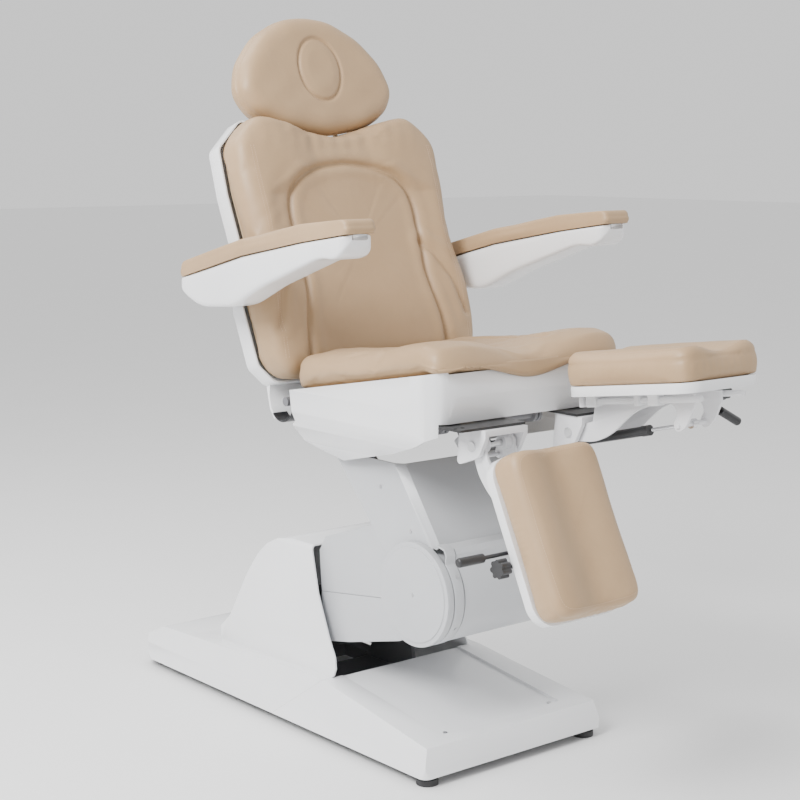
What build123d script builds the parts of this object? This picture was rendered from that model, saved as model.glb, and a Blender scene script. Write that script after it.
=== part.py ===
from build123d import *
from math import atan2, cos, degrees, hypot, radians, sin, tan
import os

# Electric treatment bed with two swinging leg rests, millimetres.
# Origin on the floor under the middle of the whole bed, +Z up, the sitter faces -Y,
# +X is the sitter's left.  Side profiles are drawn as (Y, Z) points.

os.makedirs("parts", exist_ok=True)

# Base casing
BASE_WIDTH = 513
BASE_FRONT = -345
BASE_REAR = 775
BASE_BOTTOM = 20
DECK_FRONT = (-332, 80)
DECK_MID = (30, 128)
SEAM_TOP = 30
SEAM_LOW = 190
WALL = 3.5
HUMP_TOP = 402
FOOT_R = 23
FEET = [(-225, -316), (225, -316), (-205, 712), (205, 712)]

# Lift linkage: rear pivot, knee and carriage pivot
PIVOT = (215, 245)
KNEE = (-225, 370)
CARRIAGE = (35, 680)
LIFT_ACTUATOR = (470, 120)
LIFT_LEVER = 79
LOWER_HALF = 158
UPPER_HALF = 170
KNEE_R = 108
SHAFT_R = 15
CARRIAGE_SHAFT_R = 12
RUNNING = 0.05

# Seat
SEAT_TILT = 10
RIM_AT_ZERO = 784.5
SEAT_HALF = 270
TILT_PIVOT = (-245, 720)
TILT_LEVER = 44
TILT_SHAFT_R = 10
TILT_LINE_REAR = (30.4, 723.4)

# Back
RECLINE = 18
BACK_ORIGIN = (120, 770)
BACK_HINGE = (140, 735)
BACK_SHAFT_R = 10
BACK_X = 187
BACK_LEVER = 48
ARM_PIVOT = (225, -53)
HEAD_PIVOT = (650, -56)
POST_X = 55
POST_R = 8

# Armrests
ARM_INNER = 315
ARM_OUTER = 395

# Leg rests
LEG_X = 132
LEG_PIVOT = (-405, 705)
RAISED = 7.7
HANGING = -64
HOOK = (286, 10)
GAS_ANCHOR = (36.1, -31.2)
TRAY_LOW = 76
TRAY_T = 20
TRAY_START = 50
TRAY_LENGTH = 330.6
TRAY_WIDTH = 230
ROD_X = 62
ROD_W = 62
ROD_R = 6


def save(piece, name):
    """Label a finished piece and write it under its own name."""
    piece.part.label = name
    export_step(piece.part, f"parts/{name}.step")


def toward(start, end, x=0):
    """Plane at start whose normal points at end, both (Y, Z), at sideways place x."""
    return Plane(origin=(x, start[0], start[1]), x_dir=(1, 0, 0),
                 z_dir=(0, end[0] - start[0], end[1] - start[1]))


def rim(y):
    """Height of the seat rim line at depth y."""
    return RIM_AT_ZERO - y * tan(radians(SEAT_TILT))


def back_point(up, out):
    """(Y, Z) of a point given along and out of the backrest."""
    s, c = sin(radians(RECLINE)), cos(radians(RECLINE))
    return (BACK_ORIGIN[0] + up * s - out * c, BACK_ORIGIN[1] + up * c + out * s)


def leg_point(angle, u, w):
    """(Y, Z) of a point u along and w above a leg rest at the given elevation."""
    s, c = sin(radians(angle)), cos(radians(angle))
    return (LEG_PIVOT[0] - u * c + w * s, LEG_PIVOT[1] + u * s + w * c)


SEAT_PLANE = Plane(origin=(0, 0, RIM_AT_ZERO), x_dir=(1, 0, 0),
                   z_dir=(0, sin(radians(SEAT_TILT)), cos(radians(SEAT_TILT))))
BACK_PLANE = Plane(origin=(0, BACK_ORIGIN[0], BACK_ORIGIN[1]), x_dir=(1, 0, 0),
                   z_dir=(0, -cos(radians(RECLINE)), sin(radians(RECLINE))))
SIDES = {"left": 1, "right": -1}

# ---------------------------------------------------------------- base

RAIL_X = 150
FRAME_LOW = 24
FRAME_HIGH = 54
CHEEK_X = 121
CHEEK_T = 10

with BuildPart() as base_frame:
    with BuildSketch(Plane.XY.offset(FRAME_LOW)):
        for x in (-RAIL_X, RAIL_X):
            with Locations((x, 198)):
                Rectangle(40, 1056)
        with Locations((0, -314)):
            Rectangle(480, 28)
        with Locations((0, 440)):
            Rectangle(300, 40)
        with Locations((0, 712)):
            Rectangle(440, 28)
    extrude(amount=FRAME_HIGH - FRAME_LOW)
    with BuildSketch(Plane.XY.offset(FRAME_HIGH - 6)):
        with Locations((0, 220)):
            Rectangle(2 * RAIL_X, 180)
    extrude(amount=6)
    for x in (-CHEEK_X, CHEEK_X):
        with BuildSketch(Plane.YZ.offset(x)):
            with Locations(PIVOT):
                Circle(34)
            with Locations((140, 57), (300, 57)):
                Circle(6)
            make_hull()
        extrude(amount=CHEEK_T / 2, both=True)
    with BuildSketch(Plane.YZ):
        with Locations(PIVOT):
            Circle(SHAFT_R)
    extrude(amount=CHEEK_X + CHEEK_T, both=True)
save(base_frame, "base_frame")


def casing(inset, bottom):
    """Solid of the low base casing from bottom up, drawn in by inset on its other faces."""
    with BuildPart() as body:
        with BuildSketch(Plane.YZ):
            with BuildLine():
                Polyline((BASE_FRONT, -30), (BASE_FRONT, BASE_BOTTOM), DECK_FRONT, DECK_MID, (120, 131),
                         (480, 112), (690, 104), (752, 74), (BASE_REAR, BASE_BOTTOM), (BASE_REAR, -30),
                         close=True)
            make_face()
            if inset:
                offset(amount=-inset, kind=Kind.INTERSECTION)
        extrude(amount=BASE_WIDTH / 2, both=True)
        with BuildSketch(Plane.XZ):
            with BuildLine():
                Polyline((-BASE_WIDTH / 2, -30), (-BASE_WIDTH / 2, BASE_BOTTOM), (-246, 60), (-230, 108),
                         (-222, 150), (222, 150), (230, 108), (246, 60), (BASE_WIDTH / 2, BASE_BOTTOM),
                         (BASE_WIDTH / 2, -30), close=True)
            make_face()
            if inset:
                offset(amount=-inset)
        extrude(amount=BASE_REAR + 100, both=True, mode=Mode.INTERSECT)
        with BuildSketch(Plane.XY.offset(bottom)):
            with Locations((0, (BASE_FRONT + BASE_REAR) / 2)):
                Rectangle(BASE_WIDTH, BASE_REAR - BASE_FRONT)
            fillet(vertices().group_by(Axis.Y)[-1], 70)
            fillet(vertices().group_by(Axis.Y)[0], 18)
            if inset:
                offset(amount=-inset)
        extrude(amount=300, mode=Mode.INTERSECT)
    return body.part


def hump(inset):
    """Solid of the hump over the lift pivot; the inner one runs on through the open mouth."""
    front = -80 if inset else 0
    low = 60 if inset else 100
    with BuildPart() as body:
        with BuildSketch(Plane.YZ):
            with BuildLine():
                Polyline((34 + front, low), (34 + front, 147), (72 + front, 207), (118 + front, 298),
                         (152 + front, HUMP_TOP), (230, HUMP_TOP), (282, 394), (322, 375), (356, 346),
                         (400, 286), (461, 178), (530, low), close=True)
            make_face()
            if inset:
                offset(amount=-inset)
        extrude(amount=230, both=True)
        with BuildSketch(Plane.XZ):
            with BuildLine():
                Polyline((-215, 50), (-209, 105), (-184, 170), (-177, 300), (-170, HUMP_TOP + 1),
                         (170, HUMP_TOP + 1), (177, 300), (184, 170), (209, 105), (215, 50), close=True)
            make_face()
            fillet(vertices().group_by(Axis.Y)[-1], 16)
            fillet(vertices().group_by(Axis.Y)[-3], 60)
            if inset:
                offset(amount=-inset)
        extrude(amount=700, both=True, mode=Mode.INTERSECT)
        with BuildSketch(Plane.XY.offset(20)):
            with Locations((0, 220)):
                Rectangle(430, 640)
            fillet(vertices().group_by(Axis.Y)[-1], 120)
            if inset:
                offset(amount=-inset)
        extrude(amount=500, mode=Mode.INTERSECT)
    return body.part


def seam_block(gap):
    """Everything in front of the casing's seam."""
    with BuildPart() as block:
        with BuildSketch(Plane.YZ):
            with BuildLine():
                Polyline((-500, -20), (SEAM_LOW + gap, -20), (SEAM_LOW + gap, BASE_BOTTOM), (SEAM_TOP + gap, 135),
                         (SEAM_TOP + gap, 600), (-500, 600), close=True)
            make_face()
        extrude(amount=400, both=True)
    return block.part


def tray_block(grow):
    """Space over the sunk tread of the front deck."""
    drop = 6 + grow
    with BuildPart() as block:
        with BuildSketch(Plane.YZ):
            with BuildLine():
                Polyline((-296 - grow, 84.6 - drop), (SEAM_TOP + 20, 130 - drop), (SEAM_TOP + 20, 200),
                         (-296 - grow, 200), close=True)
            make_face()
        extrude(amount=170 + grow, both=True)
    return block.part


outer_casing = casing(0, BASE_BOTTOM)
inner_casing = casing(WALL, BASE_BOTTOM - 20)

with BuildPart() as front_base_cover:
    add(outer_casing)
    add(tray_block(0), mode=Mode.SUBTRACT)
    add(inner_casing - tray_block(WALL), mode=Mode.SUBTRACT)
    add(seam_block(0), mode=Mode.INTERSECT)
save(front_base_cover, "front_base_cover")

INLET_X = 120
INLET_Z = 52
with BuildPart() as rear_base_cover:
    add(outer_casing)
    add(hump(0))
    add(inner_casing, mode=Mode.SUBTRACT)
    add(hump(WALL), mode=Mode.SUBTRACT)
    add(seam_block(0.6), mode=Mode.SUBTRACT)
    with BuildSketch(Plane.XZ.offset(-BASE_REAR - 5)):
        with Locations((INLET_X, INLET_Z)):
            Circle(9)
    extrude(amount=60, mode=Mode.SUBTRACT)
save(rear_base_cover, "rear_base_cover")

with BuildPart() as levelling_feet:
    with BuildSketch():
        with Locations(*FEET):
            Circle(FOOT_R)
    extrude(amount=14)
    fillet(levelling_feet.edges().group_by(Axis.Z)[-1], 3)
    with BuildSketch(Plane.XY.offset(14)):
        with Locations(*FEET):
            Circle(6)
    extrude(amount=FRAME_LOW - 14)
save(levelling_feet, "levelling_feet")

with BuildPart() as deck_screws:
    tread = toward((-285, 81), (-285 - (DECK_MID[1] - DECK_FRONT[1]), 81 + DECK_MID[0] - DECK_FRONT[0]))
    with BuildSketch(tread):
        with Locations((-150, 0), (150, 0)):
            Circle(5)
    extrude(amount=1.6)
save(deck_screws, "deck_screws")

with BuildPart() as power_inlet:
    with BuildSketch(Plane.XZ.offset(-728)):
        with Locations((INLET_X, INLET_Z)):
            Circle(8.5)
    extrude(amount=-50)
    with BuildSketch(Plane.XZ.offset(-772)):
        with Locations((INLET_X, INLET_Z)):
            Circle(4.5)
    extrude(amount=-10, mode=Mode.SUBTRACT)
save(power_inlet, "power_inlet")

# ---------------------------------------------------------------- lift actuator

lift_dir = Vector(0, PIVOT[0] - LIFT_ACTUATOR[0], PIVOT[1] - LIFT_ACTUATOR[1])
lift_reach = hypot(lift_dir.Y, lift_dir.Z)
lift_angle = degrees(atan2(lift_dir.Z, lift_dir.Y)) + degrees(atan2(LIFT_LEVER, lift_reach))
lift_span = (lift_reach ** 2 - LIFT_LEVER ** 2) ** 0.5
LIFT_PIN = (LIFT_ACTUATOR[0] + lift_span * cos(radians(lift_angle)),
            LIFT_ACTUATOR[1] + lift_span * sin(radians(lift_angle)))
print("lift pin", LIFT_PIN, "direction", lift_angle)
lift_line = toward(LIFT_ACTUATOR, LIFT_PIN)

with BuildPart() as lift_motor:
    with BuildSketch(lift_line):
        Circle(22)
    extrude(amount=160)
    with BuildSketch(lift_line.offset(40)):
        Circle(9 + RUNNING)
    extrude(amount=130, mode=Mode.SUBTRACT)
    with BuildSketch(Plane.XY.offset(FRAME_HIGH)):
        with Locations((0, 435)):
            Rectangle(54, 66)
    extrude(amount=LIFT_ACTUATOR[1] - 10 - FRAME_HIGH)
    with BuildSketch(lift_line.offset(40)):
        Circle(9 + RUNNING)
    extrude(amount=130, mode=Mode.SUBTRACT)
save(lift_motor, "lift_motor")

with BuildPart() as lift_rod:
    with BuildSketch(lift_line.offset(75)):
        Circle(9)
    extrude(amount=lift_span - 75 - 10)
    with BuildSketch(Plane.YZ):
        with Locations(LIFT_PIN):
            Circle(17)
    extrude(amount=11, both=True)
    with BuildSketch(Plane.YZ):
        with Locations(LIFT_PIN):
            Circle(9.5)
    extrude(amount=20, both=True, mode=Mode.SUBTRACT)
save(lift_rod, "lift_rod")

# ---------------------------------------------------------------- lower arm

LOWER_PLATE_X = 104
LOWER_PLATE_T = 8

with BuildPart() as lower_arm_frame:
    for x in (-LOWER_PLATE_X, LOWER_PLATE_X):
        with BuildSketch(Plane.YZ.offset(x)):
            with Locations(PIVOT):
                Circle(40)
            with Locations(KNEE):
                Circle(36)
            make_hull()
        extrude(amount=LOWER_PLATE_T / 2, both=True)
        with BuildSketch(Plane.YZ.offset(x)):
            with Locations(PIVOT):
                Circle(40)
            with Locations(LIFT_PIN):
                Circle(15)
            make_hull()
        extrude(amount=LOWER_PLATE_T / 2, both=True)
    for centre, half in ((PIVOT, 112), (KNEE, 150)):
        with BuildSketch(Plane.YZ):
            with Locations(centre):
                Circle(24)
        extrude(amount=half, both=True)
    with BuildSketch(Plane.YZ):
        with Locations(LIFT_PIN):
            Circle(6)
    extrude(amount=LOWER_PLATE_X, both=True)
    with BuildSketch(Plane.YZ):
        with Locations(PIVOT, KNEE):
            Circle(SHAFT_R + RUNNING)
    extrude(amount=200, both=True, mode=Mode.SUBTRACT)
save(lower_arm_frame, "lower_arm_frame")

HUB_COVER_R = 95


def lower_casing(inset):
    """Solid of the lower arm casing with its rounded knee end."""
    with BuildPart() as body:
        with BuildSketch(Plane.YZ):
            with BuildLine():
                Polyline((-200, 461.7), (-64, 486), (115, 427), (137, 392), (122, 186), (29, 204), (-145, 247),
                         (-200, 278.3))
                ThreePointArc((-200, 278.3), (KNEE[0] - HUB_COVER_R, KNEE[1]), (-200, 461.7))
            make_face()
            if inset:
                offset(amount=-inset)
        extrude(amount=LOWER_HALF - inset, both=True)
    return body.part


def seam_half(upper):
    """Half space above or below the seam of the lower arm casing."""
    z = 600 if upper else 100
    gap = 0.3 if upper else -0.3
    with BuildPart() as half:
        with BuildSketch(Plane.YZ):
            with BuildLine():
                Polyline((-400, 370.8 + gap), (250, 282.3 + gap), (250, z), (-400, z), close=True)
            make_face()
        extrude(amount=300, both=True)
    return half.part


lower_outer = lower_casing(0)
lower_inner = lower_casing(WALL)
lower_inner_open = lower_inner + Pos(0, 12, 0) * lower_inner
for upper, name in ((True, "lower_arm_upper_cover"), (False, "lower_arm_lower_cover")):
    with BuildPart() as lower_cover:
        add(lower_outer)
        add(lower_inner, mode=Mode.SUBTRACT)
        with BuildSketch(Plane.YZ):
            with BuildLine():
                Polyline((130, 382), (116, 190), (170, 178), (170, 386), close=True)
            make_face()
        extrude(amount=LOWER_HALF - WALL, both=True, mode=Mode.SUBTRACT)
        add(seam_half(upper), mode=Mode.INTERSECT)
        with BuildSketch(Plane.YZ):
            with Locations(KNEE):
                Circle(SHAFT_R + 3)
        extrude(amount=200, both=True, mode=Mode.SUBTRACT)
    save(lower_cover, name)

# ---------------------------------------------------------------- upper arm

UPPER_PLATE_X = 163.5
UPPER_PLATE_T = 5
TIE = (-176, 537)

with BuildPart() as upper_arm_frame:
    for x in (-UPPER_PLATE_X, UPPER_PLATE_X):
        with BuildSketch(Plane.YZ.offset(x)):
            with Locations(KNEE):
                Circle(36)
            with Locations(CARRIAGE):
                Circle(28)
            with Locations(TIE):
                Circle(16)
            make_hull()
            with Locations(KNEE):
                Circle(SHAFT_R, mode=Mode.SUBTRACT)
            with Locations(CARRIAGE):
                Circle(CARRIAGE_SHAFT_R, mode=Mode.SUBTRACT)
        extrude(amount=UPPER_PLATE_T / 2, both=True)
    with BuildSketch(Plane.YZ):
        with Locations(TIE):
            Circle(12)
    extrude(amount=UPPER_PLATE_X, both=True)
save(upper_arm_frame, "upper_arm_frame")

with BuildPart() as upper_arm_shafts:
    with BuildSketch(Plane.YZ):
        with Locations(KNEE):
            Circle(SHAFT_R)
        with Locations(CARRIAGE):
            Circle(CARRIAGE_SHAFT_R)
    extrude(amount=UPPER_PLATE_X + UPPER_PLATE_T / 2, both=True)
save(upper_arm_shafts, "upper_arm_shafts")

PANEL_LOW = (-271, 479)
PANEL_TOP = (-162, 631)
panel_plane = toward(PANEL_LOW, PANEL_TOP).offset(-80)

with BuildPart() as upper_arm_cover:
    with BuildSketch(panel_plane):
        with Locations((0, 130)):
            Rectangle(2 * UPPER_HALF, 260)
        chamfer(vertices().group_by(Axis.Y)[0], 15)
        with BuildLine():
            Polyline((-166, 16.5), (-153.5, 3.5), (153.5, 3.5), (166, 16.5), (166, 300), (-166, 300), close=True)
        make_face(mode=Mode.SUBTRACT)
    extrude(amount=380)
    with BuildSketch(Plane.YZ):
        with BuildLine():
            Polyline((-135, 412), (52, 615), (34, 632), PANEL_TOP, (-273, 476), KNEE, close=True)
        make_face()
        with Locations(KNEE):
            Circle(101)
    extrude(amount=300, both=True, mode=Mode.INTERSECT)
    with BuildSketch(Plane.YZ):
        with Locations(KNEE):
            Circle(KNEE_R + 0.3)
    extrude(amount=UPPER_HALF - 4, both=True, mode=Mode.SUBTRACT)
save(upper_arm_cover, "upper_arm_cover")

DRUM_START = 135
DRUM_END = 281


def drum_ring(inner, outer, lip):
    """Side profile of the knee casing's curved wall with its top lip."""
    far = 200
    start, end = radians(DRUM_START), radians(DRUM_END)
    with BuildSketch() as ring:
        with Locations(KNEE):
            Circle(outer)
            Circle(inner, mode=Mode.SUBTRACT)
        with BuildLine():
            Polyline(KNEE, (KNEE[0] + far * cos(start), KNEE[1] + far * sin(start)), (KNEE[0] - 2 * far, KNEE[1]),
                     (KNEE[0] - far, KNEE[1] - 2 * far), (KNEE[0] + far * cos(end), KNEE[1] + far * sin(end)),
                     close=True)
        make_face(mode=Mode.INTERSECT)
        with BuildLine():
            Polyline((-302 - lip, 445), (-304.5 - lip, 462), (-298 - lip, 474 + lip), (-275, 479 + lip),
                     (-275, 475.5 + lip), (-296 - lip, 470.5 + lip), (-301 - lip, 461), (-298.5 - lip, 444),
                     close=True)
        make_face()
    return ring.sketch


with BuildPart() as knee_drum:
    with BuildSketch(Plane.YZ):
        add(drum_ring(KNEE_R - WALL, KNEE_R, 0))
    extrude(amount=139, both=True)
save(knee_drum, "knee_drum")

with BuildPart() as knee_bands:
    for x in (-(140 + UPPER_HALF) / 2, (140 + UPPER_HALF) / 2):
        with BuildSketch(Plane.YZ.offset(x)):
            add(drum_ring(KNEE_R - WALL, KNEE_R + 2, 2))
        extrude(amount=(UPPER_HALF - 4.3 - 140) / 2, both=True)
save(knee_bands, "knee_bands")

CAP_OUT = 190
with BuildPart() as knee_side_caps:
    for side in (-1, 1):
        with BuildSketch(Plane.YZ.offset(side * (UPPER_HALF + 0.3))):
            with Locations(KNEE):
                Circle(KNEE_R + 2)
        extrude(amount=side * (CAP_OUT - UPPER_HALF - 3))
        with BuildSketch(Plane.YZ.offset(side * (CAP_OUT - 3))):
            with Locations(KNEE):
                Circle(KNEE_R - 8)
        extrude(amount=side * 3)
save(knee_side_caps, "knee_side_caps")

SCREW_R = 4
SCREW_H = 1.5
with BuildPart() as arm_cover_screws:
    for side in (-1, 1):
        with BuildSketch(Plane.YZ.offset(side * UPPER_HALF)):
            with Locations((-98, 575), (-196, 496)):
                Circle(SCREW_R)
        extrude(amount=side * SCREW_H)
        with BuildSketch(Plane.YZ.offset(side * CAP_OUT)):
            with Locations(KNEE):
                Circle(SCREW_R)
        extrude(amount=side * SCREW_H)
        for turn in (152, 212):
            s, c = sin(radians(turn)), cos(radians(turn))
            band = Plane(origin=(side * 152, KNEE[0] + (KNEE_R + 2.1) * c, KNEE[1] + (KNEE_R + 2.1) * s),
                         x_dir=(1, 0, 0), z_dir=(0, c, s))
            with BuildSketch(band):
                Circle(SCREW_R)
            extrude(amount=SCREW_H)
save(arm_cover_screws, "arm_cover_screws")

# ---------------------------------------------------------------- seat carriage

CARRIAGE_PLATE_X = 124
with BuildPart() as carriage_frame:
    for x in (-CARRIAGE_PLATE_X, CARRIAGE_PLATE_X):
        with BuildSketch(Plane.YZ.offset(x)):
            with Locations(CARRIAGE):
                Circle(26)
            with Locations(TILT_PIVOT):
                Circle(18)
            make_hull()
        extrude(amount=4, both=True)
    with BuildSketch(Plane.YZ):
        with Locations(CARRIAGE):
            Circle(20)
    extrude(amount=156, both=True)
    with BuildSketch(Plane.YZ):
        with Locations(TILT_PIVOT):
            Circle(TILT_SHAFT_R)
    extrude(amount=146, both=True)
    with BuildSketch(Plane.XY.offset(690)):
        with Locations((0, 22)):
            Rectangle(32, 20)
    extrude(amount=17.5)
    with BuildSketch(Plane.YZ):
        with Locations(CARRIAGE):
            Circle(CARRIAGE_SHAFT_R + RUNNING)
    extrude(amount=200, both=True, mode=Mode.SUBTRACT)
save(carriage_frame, "carriage_frame")

tilt_dir = Vector(0, TILT_PIVOT[0] - TILT_LINE_REAR[0], TILT_PIVOT[1] - TILT_LINE_REAR[1])
tilt_reach = hypot(tilt_dir.Y, tilt_dir.Z)
tilt_span = (tilt_reach ** 2 - TILT_LEVER ** 2) ** 0.5
tilt_angle = degrees(atan2(tilt_dir.Z, tilt_dir.Y)) - degrees(atan2(TILT_LEVER, tilt_span))
TILT_PIN = (TILT_LINE_REAR[0] + tilt_span * cos(radians(tilt_angle)),
            TILT_LINE_REAR[1] + tilt_span * sin(radians(tilt_angle)))
print("tilt pin", TILT_PIN, "direction", tilt_angle)
tilt_line = toward(TILT_LINE_REAR, TILT_PIN)

with BuildPart() as tilt_motor:
    with BuildSketch(tilt_line):
        Circle(14)
    extrude(amount=150)
    with BuildSketch(tilt_line.offset(20)):
        Circle(6 + RUNNING)
    extrude(amount=140, mode=Mode.SUBTRACT)
save(tilt_motor, "tilt_motor")

with BuildPart() as tilt_rod:
    with BuildSketch(tilt_line.offset(60)):
        Circle(6)
    extrude(amount=tilt_span - 60 - 8)
    with BuildSketch(Plane.YZ):
        with Locations(TILT_PIN):
            Circle(12)
    extrude(amount=10, both=True)
    with BuildSketch(Plane.YZ):
        with Locations(TILT_PIN):
            Circle(6.2)
    extrude(amount=20, both=True, mode=Mode.SUBTRACT)
save(tilt_rod, "tilt_rod")

# ---------------------------------------------------------------- seat

SEAT_RAIL_X = 220
RAIL = 30
BOARD_LOW = -14
PLATE_Z = 741
PLATE_T = 5
HINGE_PLATE_X = 209

with BuildPart() as seat_frame:
    with BuildSketch(SEAT_PLANE.offset(BOARD_LOW - RAIL)):
        for x in (-SEAT_RAIL_X, SEAT_RAIL_X):
            with Locations((x, -131)):
                Rectangle(RAIL, 418)
        with Locations((0, -325)):
            Rectangle(2 * SEAT_RAIL_X, RAIL)
        with Locations((0, -249)):
            Rectangle(2 * SEAT_RAIL_X, 24)
        with Locations((0, 66)):
            Rectangle(2 * SEAT_RAIL_X, 24)
    extrude(amount=RAIL)
    with BuildSketch(Plane.XY.offset(PLATE_Z + PLATE_T)):
        with GridLocations(115, 1, 4, 1):
            with Locations((0, -328)):
                Rectangle(20, 24)
    extrude(amount=60)
    for x in (-136, 136):
        with BuildSketch(Plane.YZ.offset(x)):
            with Locations(TILT_PIVOT):
                Circle(18)
            with Locations((-245, 792)):
                Circle(8)
            make_hull()
            with Locations(TILT_PIVOT):
                Circle(TILT_SHAFT_R + RUNNING, mode=Mode.SUBTRACT)
        extrude(amount=4, both=True)
    for x in (-17, 17):
        with BuildSketch(Plane.YZ.offset(x)):
            with Locations(TILT_PIN):
                Circle(12)
            with Locations((-243, 792)):
                Circle(8)
            make_hull()
        extrude(amount=3, both=True)
    with BuildSketch(Plane.YZ):
        with Locations(TILT_PIN):
            Circle(5)
    extrude(amount=17, both=True)
    for x in (-HINGE_PLATE_X, HINGE_PLATE_X):
        with BuildSketch(Plane.YZ.offset(x)):
            with Locations(BACK_HINGE):
                Circle(18)
            with Locations((66, 744)):
                Circle(14)
            make_hull()
        extrude(amount=4, both=True)
    with BuildSketch(Plane.YZ):
        with Locations(BACK_HINGE):
            Circle(BACK_SHAFT_R)
    extrude(amount=245, both=True)
save(seat_frame, "seat_frame")

with BuildPart() as seat_board:
    with BuildSketch(SEAT_PLANE.offset(BOARD_LOW)):
        with Locations((0, -139)):
            RectangleRounded(500, 420, 30)
    extrude(amount=12)
save(seat_board, "seat_board")

SHELL_WALL = 4


def seat_tub(inset):
    """Solid of the seat casing; the inner one runs out through the open top and bottom."""
    lift = 60 if inset else 0
    drop = -60 if inset else 0
    with BuildPart() as body:
        with BuildSketch(Plane.YZ):
            with BuildLine():
                Polyline((90, rim(90) + lift), (92, 700), (108, 690), (112, 650 + drop), (66, 634 + drop),
                         (5, 618 + drop), (-133, 650 + drop), (-215, 669 + drop), (-302, 695 + drop),
                         (-374, 726 + drop), (-380, 800), (-372, rim(-372) + lift), close=True)
            make_face()
            if inset:
                offset(amount=-inset)
        extrude(amount=SEAT_HALF, both=True)
        with BuildSketch(Plane.XZ):
            with BuildLine():
                Polyline((-SEAT_HALF, 960), (-SEAT_HALF, 770), (-264, 722), (-247, 686), (-212, 648), (-190, 618),
                         (-188, 540), (188, 540), (190, 618), (212, 648), (247, 686), (264, 722),
                         (SEAT_HALF, 770), (SEAT_HALF, 960), close=True)
            make_face()
            fillet(vertices().filter_by_position(Axis.Y, 640, 780), 26)
            if inset:
                offset(amount=-inset)
        extrude(amount=500, both=True, mode=Mode.INTERSECT)
        with BuildSketch(Plane.XY.offset(500)):
            with Locations((0, -134)):
                Rectangle(2 * SEAT_HALF, 492)
            fillet(vertices().group_by(Axis.Y)[-1], 22)
            fillet(vertices().group_by(Axis.Y)[0], 70)
            if inset:
                offset(amount=-inset)
        extrude(amount=500, mode=Mode.INTERSECT)
    return body.part


with BuildPart() as seat_shell:
    add(seat_tub(0))
    add(seat_tub(SHELL_WALL), mode=Mode.SUBTRACT)
    with BuildSketch(Plane.XY.offset(600)):
        with Locations((0, -345)):
            Rectangle(484, 100)
    extrude(amount=148.5, mode=Mode.SUBTRACT)
    with BuildSketch(Plane.XZ.offset(-60)):
        for x in (-HINGE_PLATE_X, HINGE_PLATE_X):
            with Locations((x, 745)):
                Rectangle(16, 90)
        with Locations((BACK_X, 700)):
            Rectangle(30, 60)
    extrude(amount=-60, mode=Mode.SUBTRACT)
save(seat_shell, "seat_shell")

with BuildPart() as seat_cushion:
    with BuildSketch(Plane.YZ):
        with BuildLine():
            Polyline((76, rim(76) + 2), (92, 838), (80, 850))
            Spline((80, 850), (-77, 868), (-189, 878), (-323, 906), (-372, 898), (-388, 872), (-376, rim(-376) + 2),
                   tangents=((-1, 0.1), (1, -2)))
            Line((-376, rim(-376) + 2), (76, rim(76) + 2))
        make_face()
    extrude(amount=262, both=True)
    with BuildSketch(Plane.XY.offset(700)):
        with Locations((0, -148)):
            Rectangle(524, 480)
        fillet(vertices().group_by(Axis.Y)[-1], 30)
        fillet(vertices().group_by(Axis.Y)[0], 60)
    extrude(amount=400, mode=Mode.INTERSECT)
save(seat_cushion, "seat_cushion")

with BuildPart() as leg_mount_plates:
    with BuildSketch(Plane.XY.offset(PLATE_Z)):
        for side in (-1, 1):
            with Locations((side * 157, -375)):
                Rectangle(170, 114)
            with Locations((side * 218, -410), (side * 236, -410)):
                Circle(4.5, mode=Mode.SUBTRACT)
    extrude(amount=PLATE_T)
    with BuildSketch(Plane.XY.offset(728.4)):
        with Locations((-LEG_X, LEG_PIVOT[0]), (LEG_X, LEG_PIVOT[0])):
            Circle(8)
    extrude(amount=PLATE_Z - 728.4)
    with BuildSketch(Plane.XY.offset(722)):
        with Locations((-LEG_X, LEG_PIVOT[0]), (LEG_X, LEG_PIVOT[0])):
            Circle(12)
    extrude(amount=6.2)
    with BuildSketch(Plane.XY.offset(728)):
        with Locations((-LEG_X, LEG_PIVOT[0]), (LEG_X, LEG_PIVOT[0])):
            Circle(8)
    extrude(amount=2)
save(leg_mount_plates, "leg_mount_plates")

HALF_RECLINE = 31
BACK_PIN = (BACK_HINGE[0] + BACK_LEVER * sin(radians(HALF_RECLINE)),
            BACK_HINGE[1] - BACK_LEVER * cos(radians(HALF_RECLINE)))
BACK_LINE_Z = BACK_HINGE[1] - BACK_LEVER * (1 + cos(radians(HALF_RECLINE))) / 2
print("back pin", BACK_PIN, "line z", BACK_LINE_Z)
back_line = toward((-110, BACK_LINE_Z), (0, BACK_LINE_Z), BACK_X)

with BuildPart() as back_motor:
    with BuildSketch(back_line):
        Circle(11)
    extrude(amount=150)
    with BuildSketch(Plane.XY.offset(BACK_LINE_Z - 4)):
        with Locations((BACK_X + 3, -95)):
            Rectangle(28, 60)
    extrude(amount=50)
    with BuildSketch(back_line.offset(12)):
        Circle(6 + RUNNING)
    extrude(amount=150, mode=Mode.SUBTRACT)
save(back_motor, "back_motor")

back_rod_length = BACK_PIN[0] + 110
with BuildPart() as back_rod:
    with BuildSketch(back_line.offset(90)):
        Circle(6)
    extrude(amount=back_rod_length - 90 - 9)
    with BuildSketch(Plane.YZ.offset(BACK_X)):
        with Locations((BACK_PIN[0], BACK_LINE_Z)):
            Circle(13)
    extrude(amount=4, both=True)
    with BuildSketch(Plane.YZ.offset(BACK_X)):
        with Locations((BACK_PIN[0], BACK_LINE_Z)):
            Circle(8)
    extrude(amount=10, both=True, mode=Mode.SUBTRACT)
save(back_rod, "back_rod")

# ---------------------------------------------------------------- backrest

UPRIGHT = 25
UPRIGHT_X = 138
FRAME_BACK = -66
BACK_THICK = 78
CUSHION_BACK = -36
SHELL_BACK = -78
CROWN = 14

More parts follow.
